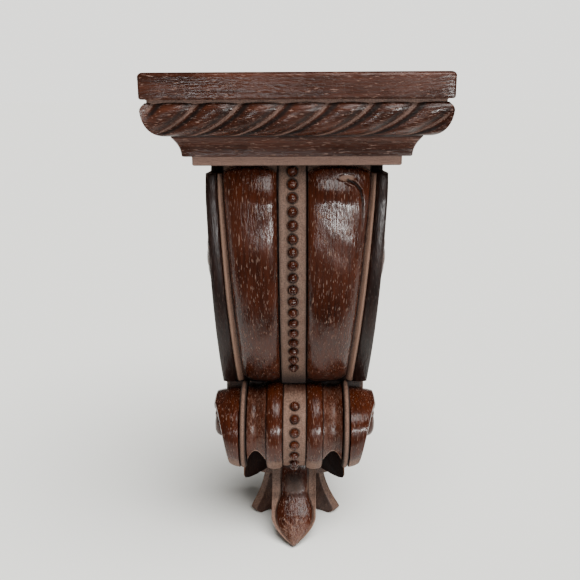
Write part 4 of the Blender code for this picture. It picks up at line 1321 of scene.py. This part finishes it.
def side_leaf(side, root_drop, length, width, proud, root_out, end_out):
    t = np.linspace(-1.0, 1.0, 61)
    across = np.array([0.0, -0.94, 0.34])
    rings = []
    marks = []
    for s in np.linspace(0.0, 1.0, 100):
        drop = root_drop + length * s
        ground = body_half(drop) - SIDE_INSET
        middle = place(side * ground, lerp(root_out, end_out, ease(s)), BODY_TOP - drop)
        swell = math.sin(math.pi * min(1.0, 0.12 + 0.86 * s)) ** 0.7
        teeth = 1 + 0.14 * math.cos(2 * math.pi * LEAF_LOBES * s)
        half = width / 2 * swell * teeth
        crown = dome(t, 2.2) * (0.75 + 0.25 * np.abs(t) ** 0.7)
        midrib = bump_at(t, 0.0, 0.07)
        veins = np.abs(np.sin(np.pi * (LEAF_LOBES * 2 * s - 1.1 * np.abs(t)))) ** 6
        cut = VEIN_DEPTH * (midrib + 0.7 * veins * (np.abs(t) > 0.1) * dome(t, 3.0))
        curl = 1 - LEAF_TIP_CURL * ease((s - 0.76) / 0.24)
        height = lerp(LEAF_EDGE, proud, s ** 1.5) * crown * curl - cut * crown
        grid = middle + across * (half * t)[:, None]
        grid[:, 0] += side * height
        under = np.array([0.9, -0.9])
        base = middle + across * (half * under)[:, None]
        base[:, 0] -= side * LEAF_SINK
        rings.append(np.concatenate([grid, base]))
        shade = np.clip(0.8 * midrib + 0.5 * veins, 0.0, 0.9)
        face_marks = np.stack([0.35 + 0.0 * t, shade, 0.25 * bump_at(np.abs(t), 0.93, 0.05)], axis=-1)
        marks.append(np.concatenate([face_marks, np.tile((0.5, 0.8, 0.0), (2, 1))]))
    return np.stack(rings), np.stack(marks)


def leaves_on_sides():
    large = [side_leaf(side, LEAF_ROOT_DROP, LEAF_LENGTH, LEAF_WIDTH, LEAF_PROUD, LEAF_ROOT_OUT,
                       LEAF_END_OUT) for side in (-1, 1)]
    small = [side_leaf(side, LEAF_ROOT_DROP + LEAF_LENGTH - LEAF_LAP, SMALL_LEAF_LENGTH, SMALL_LEAF_WIDTH,
                       SMALL_LEAF_PROUD, SMALL_LEAF_ROOT_OUT, SMALL_LEAF_END_OUT) for side in (-1, 1)]
    carve("acanthus_leaves", large, body_wood, "body")
    carve("small_leaves", small, body_wood, "body")


leaves_on_sides()

# %% [markdown]
# The corbel stands on its leaf tips on a plain pale floor. The floor is far wider than the view, and the
# air round it has nearly its colour, so no line shows where it ends. It is laid as two pieces, because
# the one in front is kept out of the lacquer's reflections.

# %% Floor and air
FLOOR_HALF = 30.0
FLOOR_FRONT = -0.155
FLOOR_GAP = 0.0002
AIR_SEEN = 2.257
AIR_LIGHT = 0.16


def pale_floor():
    paint = bpy.data.materials.new("pale floor")
    paint.use_nodes = True
    shader = paint.node_tree.nodes["Principled BSDF"]
    shader.inputs["Base Color"].default_value = (0.80, 0.80, 0.77, 1.0)
    shader.inputs["Roughness"].default_value = 0.95
    shader.inputs["Specular IOR Level"].default_value = 0.0
    floors = (("floor", FLOOR_FRONT, FLOOR_HALF), ("floor_in_front", -FLOOR_HALF, FLOOR_FRONT))
    for name, front, back in floors:
        mesh = bpy.data.meshes.new(name)
        corners = [(x, y, TIP_Z - FLOOR_GAP) for y in (front, back) for x in (-FLOOR_HALF, FLOOR_HALF)]
        mesh.from_pydata(corners, [], [(0, 1, 3, 2)])
        mesh.materials.append(paint)
        made = bpy.data.objects.new(name, mesh)
        made.visible_glossy = name == "floor"
        bpy.context.collection.objects.link(made)


def pale_air():
    world = bpy.data.worlds.new("pale air")
    world.use_nodes = True
    tree = world.node_tree
    sky = tree.nodes["Background"]
    sky.inputs["Color"].default_value = (0.80, 0.795, 0.762, 1.0)
    seen = add(tree, "ShaderNodeLightPath").outputs["Is Camera Ray"]
    tree.links.new(between(tree, seen, 0.0, 1.0, AIR_LIGHT, AIR_SEEN), sky.inputs["Strength"])
    bpy.context.scene.world = world


pale_floor()
pale_air()
print("floor at", round((TIP_Z - FLOOR_GAP) * 1000, 1), "mm")

# %% [markdown]
# One very broad sun, above and in front and a little to the right, gives the soft light. Three windows
# show only as reflections, and break up in the lacquer into upright highlights.

# %% Lights
AIM = Vector((0.0, -0.07, 0.0))
DAY_STRENGTH = 7.4
DAY_SPREAD_DEG = 50.0
DAY_TOWARDS = (-0.25, 0.42, -1.0)


def window(name, place_at, width, height, power, colour):
    light = bpy.data.lights.new(name, "AREA")
    light.shape = "RECTANGLE"
    light.size = width
    light.size_y = height
    light.energy = power
    light.color = colour
    made = bpy.data.objects.new(name, light)
    made.location = place_at
    made.rotation_euler = (AIM - Vector(place_at)).to_track_quat("-Z", "Y").to_euler()
    made.visible_camera = False
    made.visible_diffuse = False
    bpy.context.collection.objects.link(made)
    return made


def daylight():
    light = bpy.data.lights.new("daylight", "SUN")
    light.energy = DAY_STRENGTH
    light.angle = math.radians(DAY_SPREAD_DEG)
    light.color = (1.0, 0.995, 0.975)
    made = bpy.data.objects.new("daylight", light)
    made.rotation_euler = Vector(DAY_TOWARDS).to_track_quat("-Z", "Y").to_euler()
    made.visible_glossy = False
    bpy.context.collection.objects.link(made)
    return made


daylight()
window("window right", (0.53, -1.00, -0.07), 0.20, 0.13, 11.0, (1.0, 0.99, 0.97))
window("pane left", (-0.12, -1.05, -0.07), 0.08, 0.13, 2.2, (0.97, 0.985, 1.0))
window("high window", (0.30, -0.70, 0.90), 0.60, 0.60, 12.0, (1.0, 0.99, 0.97))
print("daylight and three windows")

# %% [markdown]
# The camera stands close in front, a little below the cap's top, and looks down, which is why the leaf
# drop looks small. Its place and lens were fitted to the real piece's edges.

# %% Camera
CAMERA_AT = Vector((0.0006, -0.4459, CAP_TOP - 0.0104))
LENS = 43.45
YAW = math.radians(0.7)
PITCH = math.radians(15.61)
ROLL = math.radians(-0.30)


def camera():
    ahead = Vector((-math.sin(YAW), math.cos(YAW), 0.0))
    right = Vector((math.cos(YAW), math.sin(YAW), 0.0))
    look = ahead * math.cos(PITCH) + Vector((0.0, 0.0, -math.sin(PITCH)))
    up = ahead * math.sin(PITCH) + Vector((0.0, 0.0, math.cos(PITCH)))
    across = right * math.cos(ROLL) + up * math.sin(ROLL)
    rise = up * math.cos(ROLL) - right * math.sin(ROLL)
    lens = bpy.data.cameras.new("camera")
    lens.lens = LENS
    lens.sensor_width = 36.0
    made = bpy.data.objects.new("camera", lens)
    made.matrix_world = Matrix.Translation(CAMERA_AT) @ Matrix((across, rise, -look)).transposed().to_4x4()
    bpy.context.collection.objects.link(made)
    bpy.context.scene.camera = made
    return made


camera()
print("camera", round((CAMERA_AT.y + CAP_DEPTH) * -1000), "mm in front of the slab")
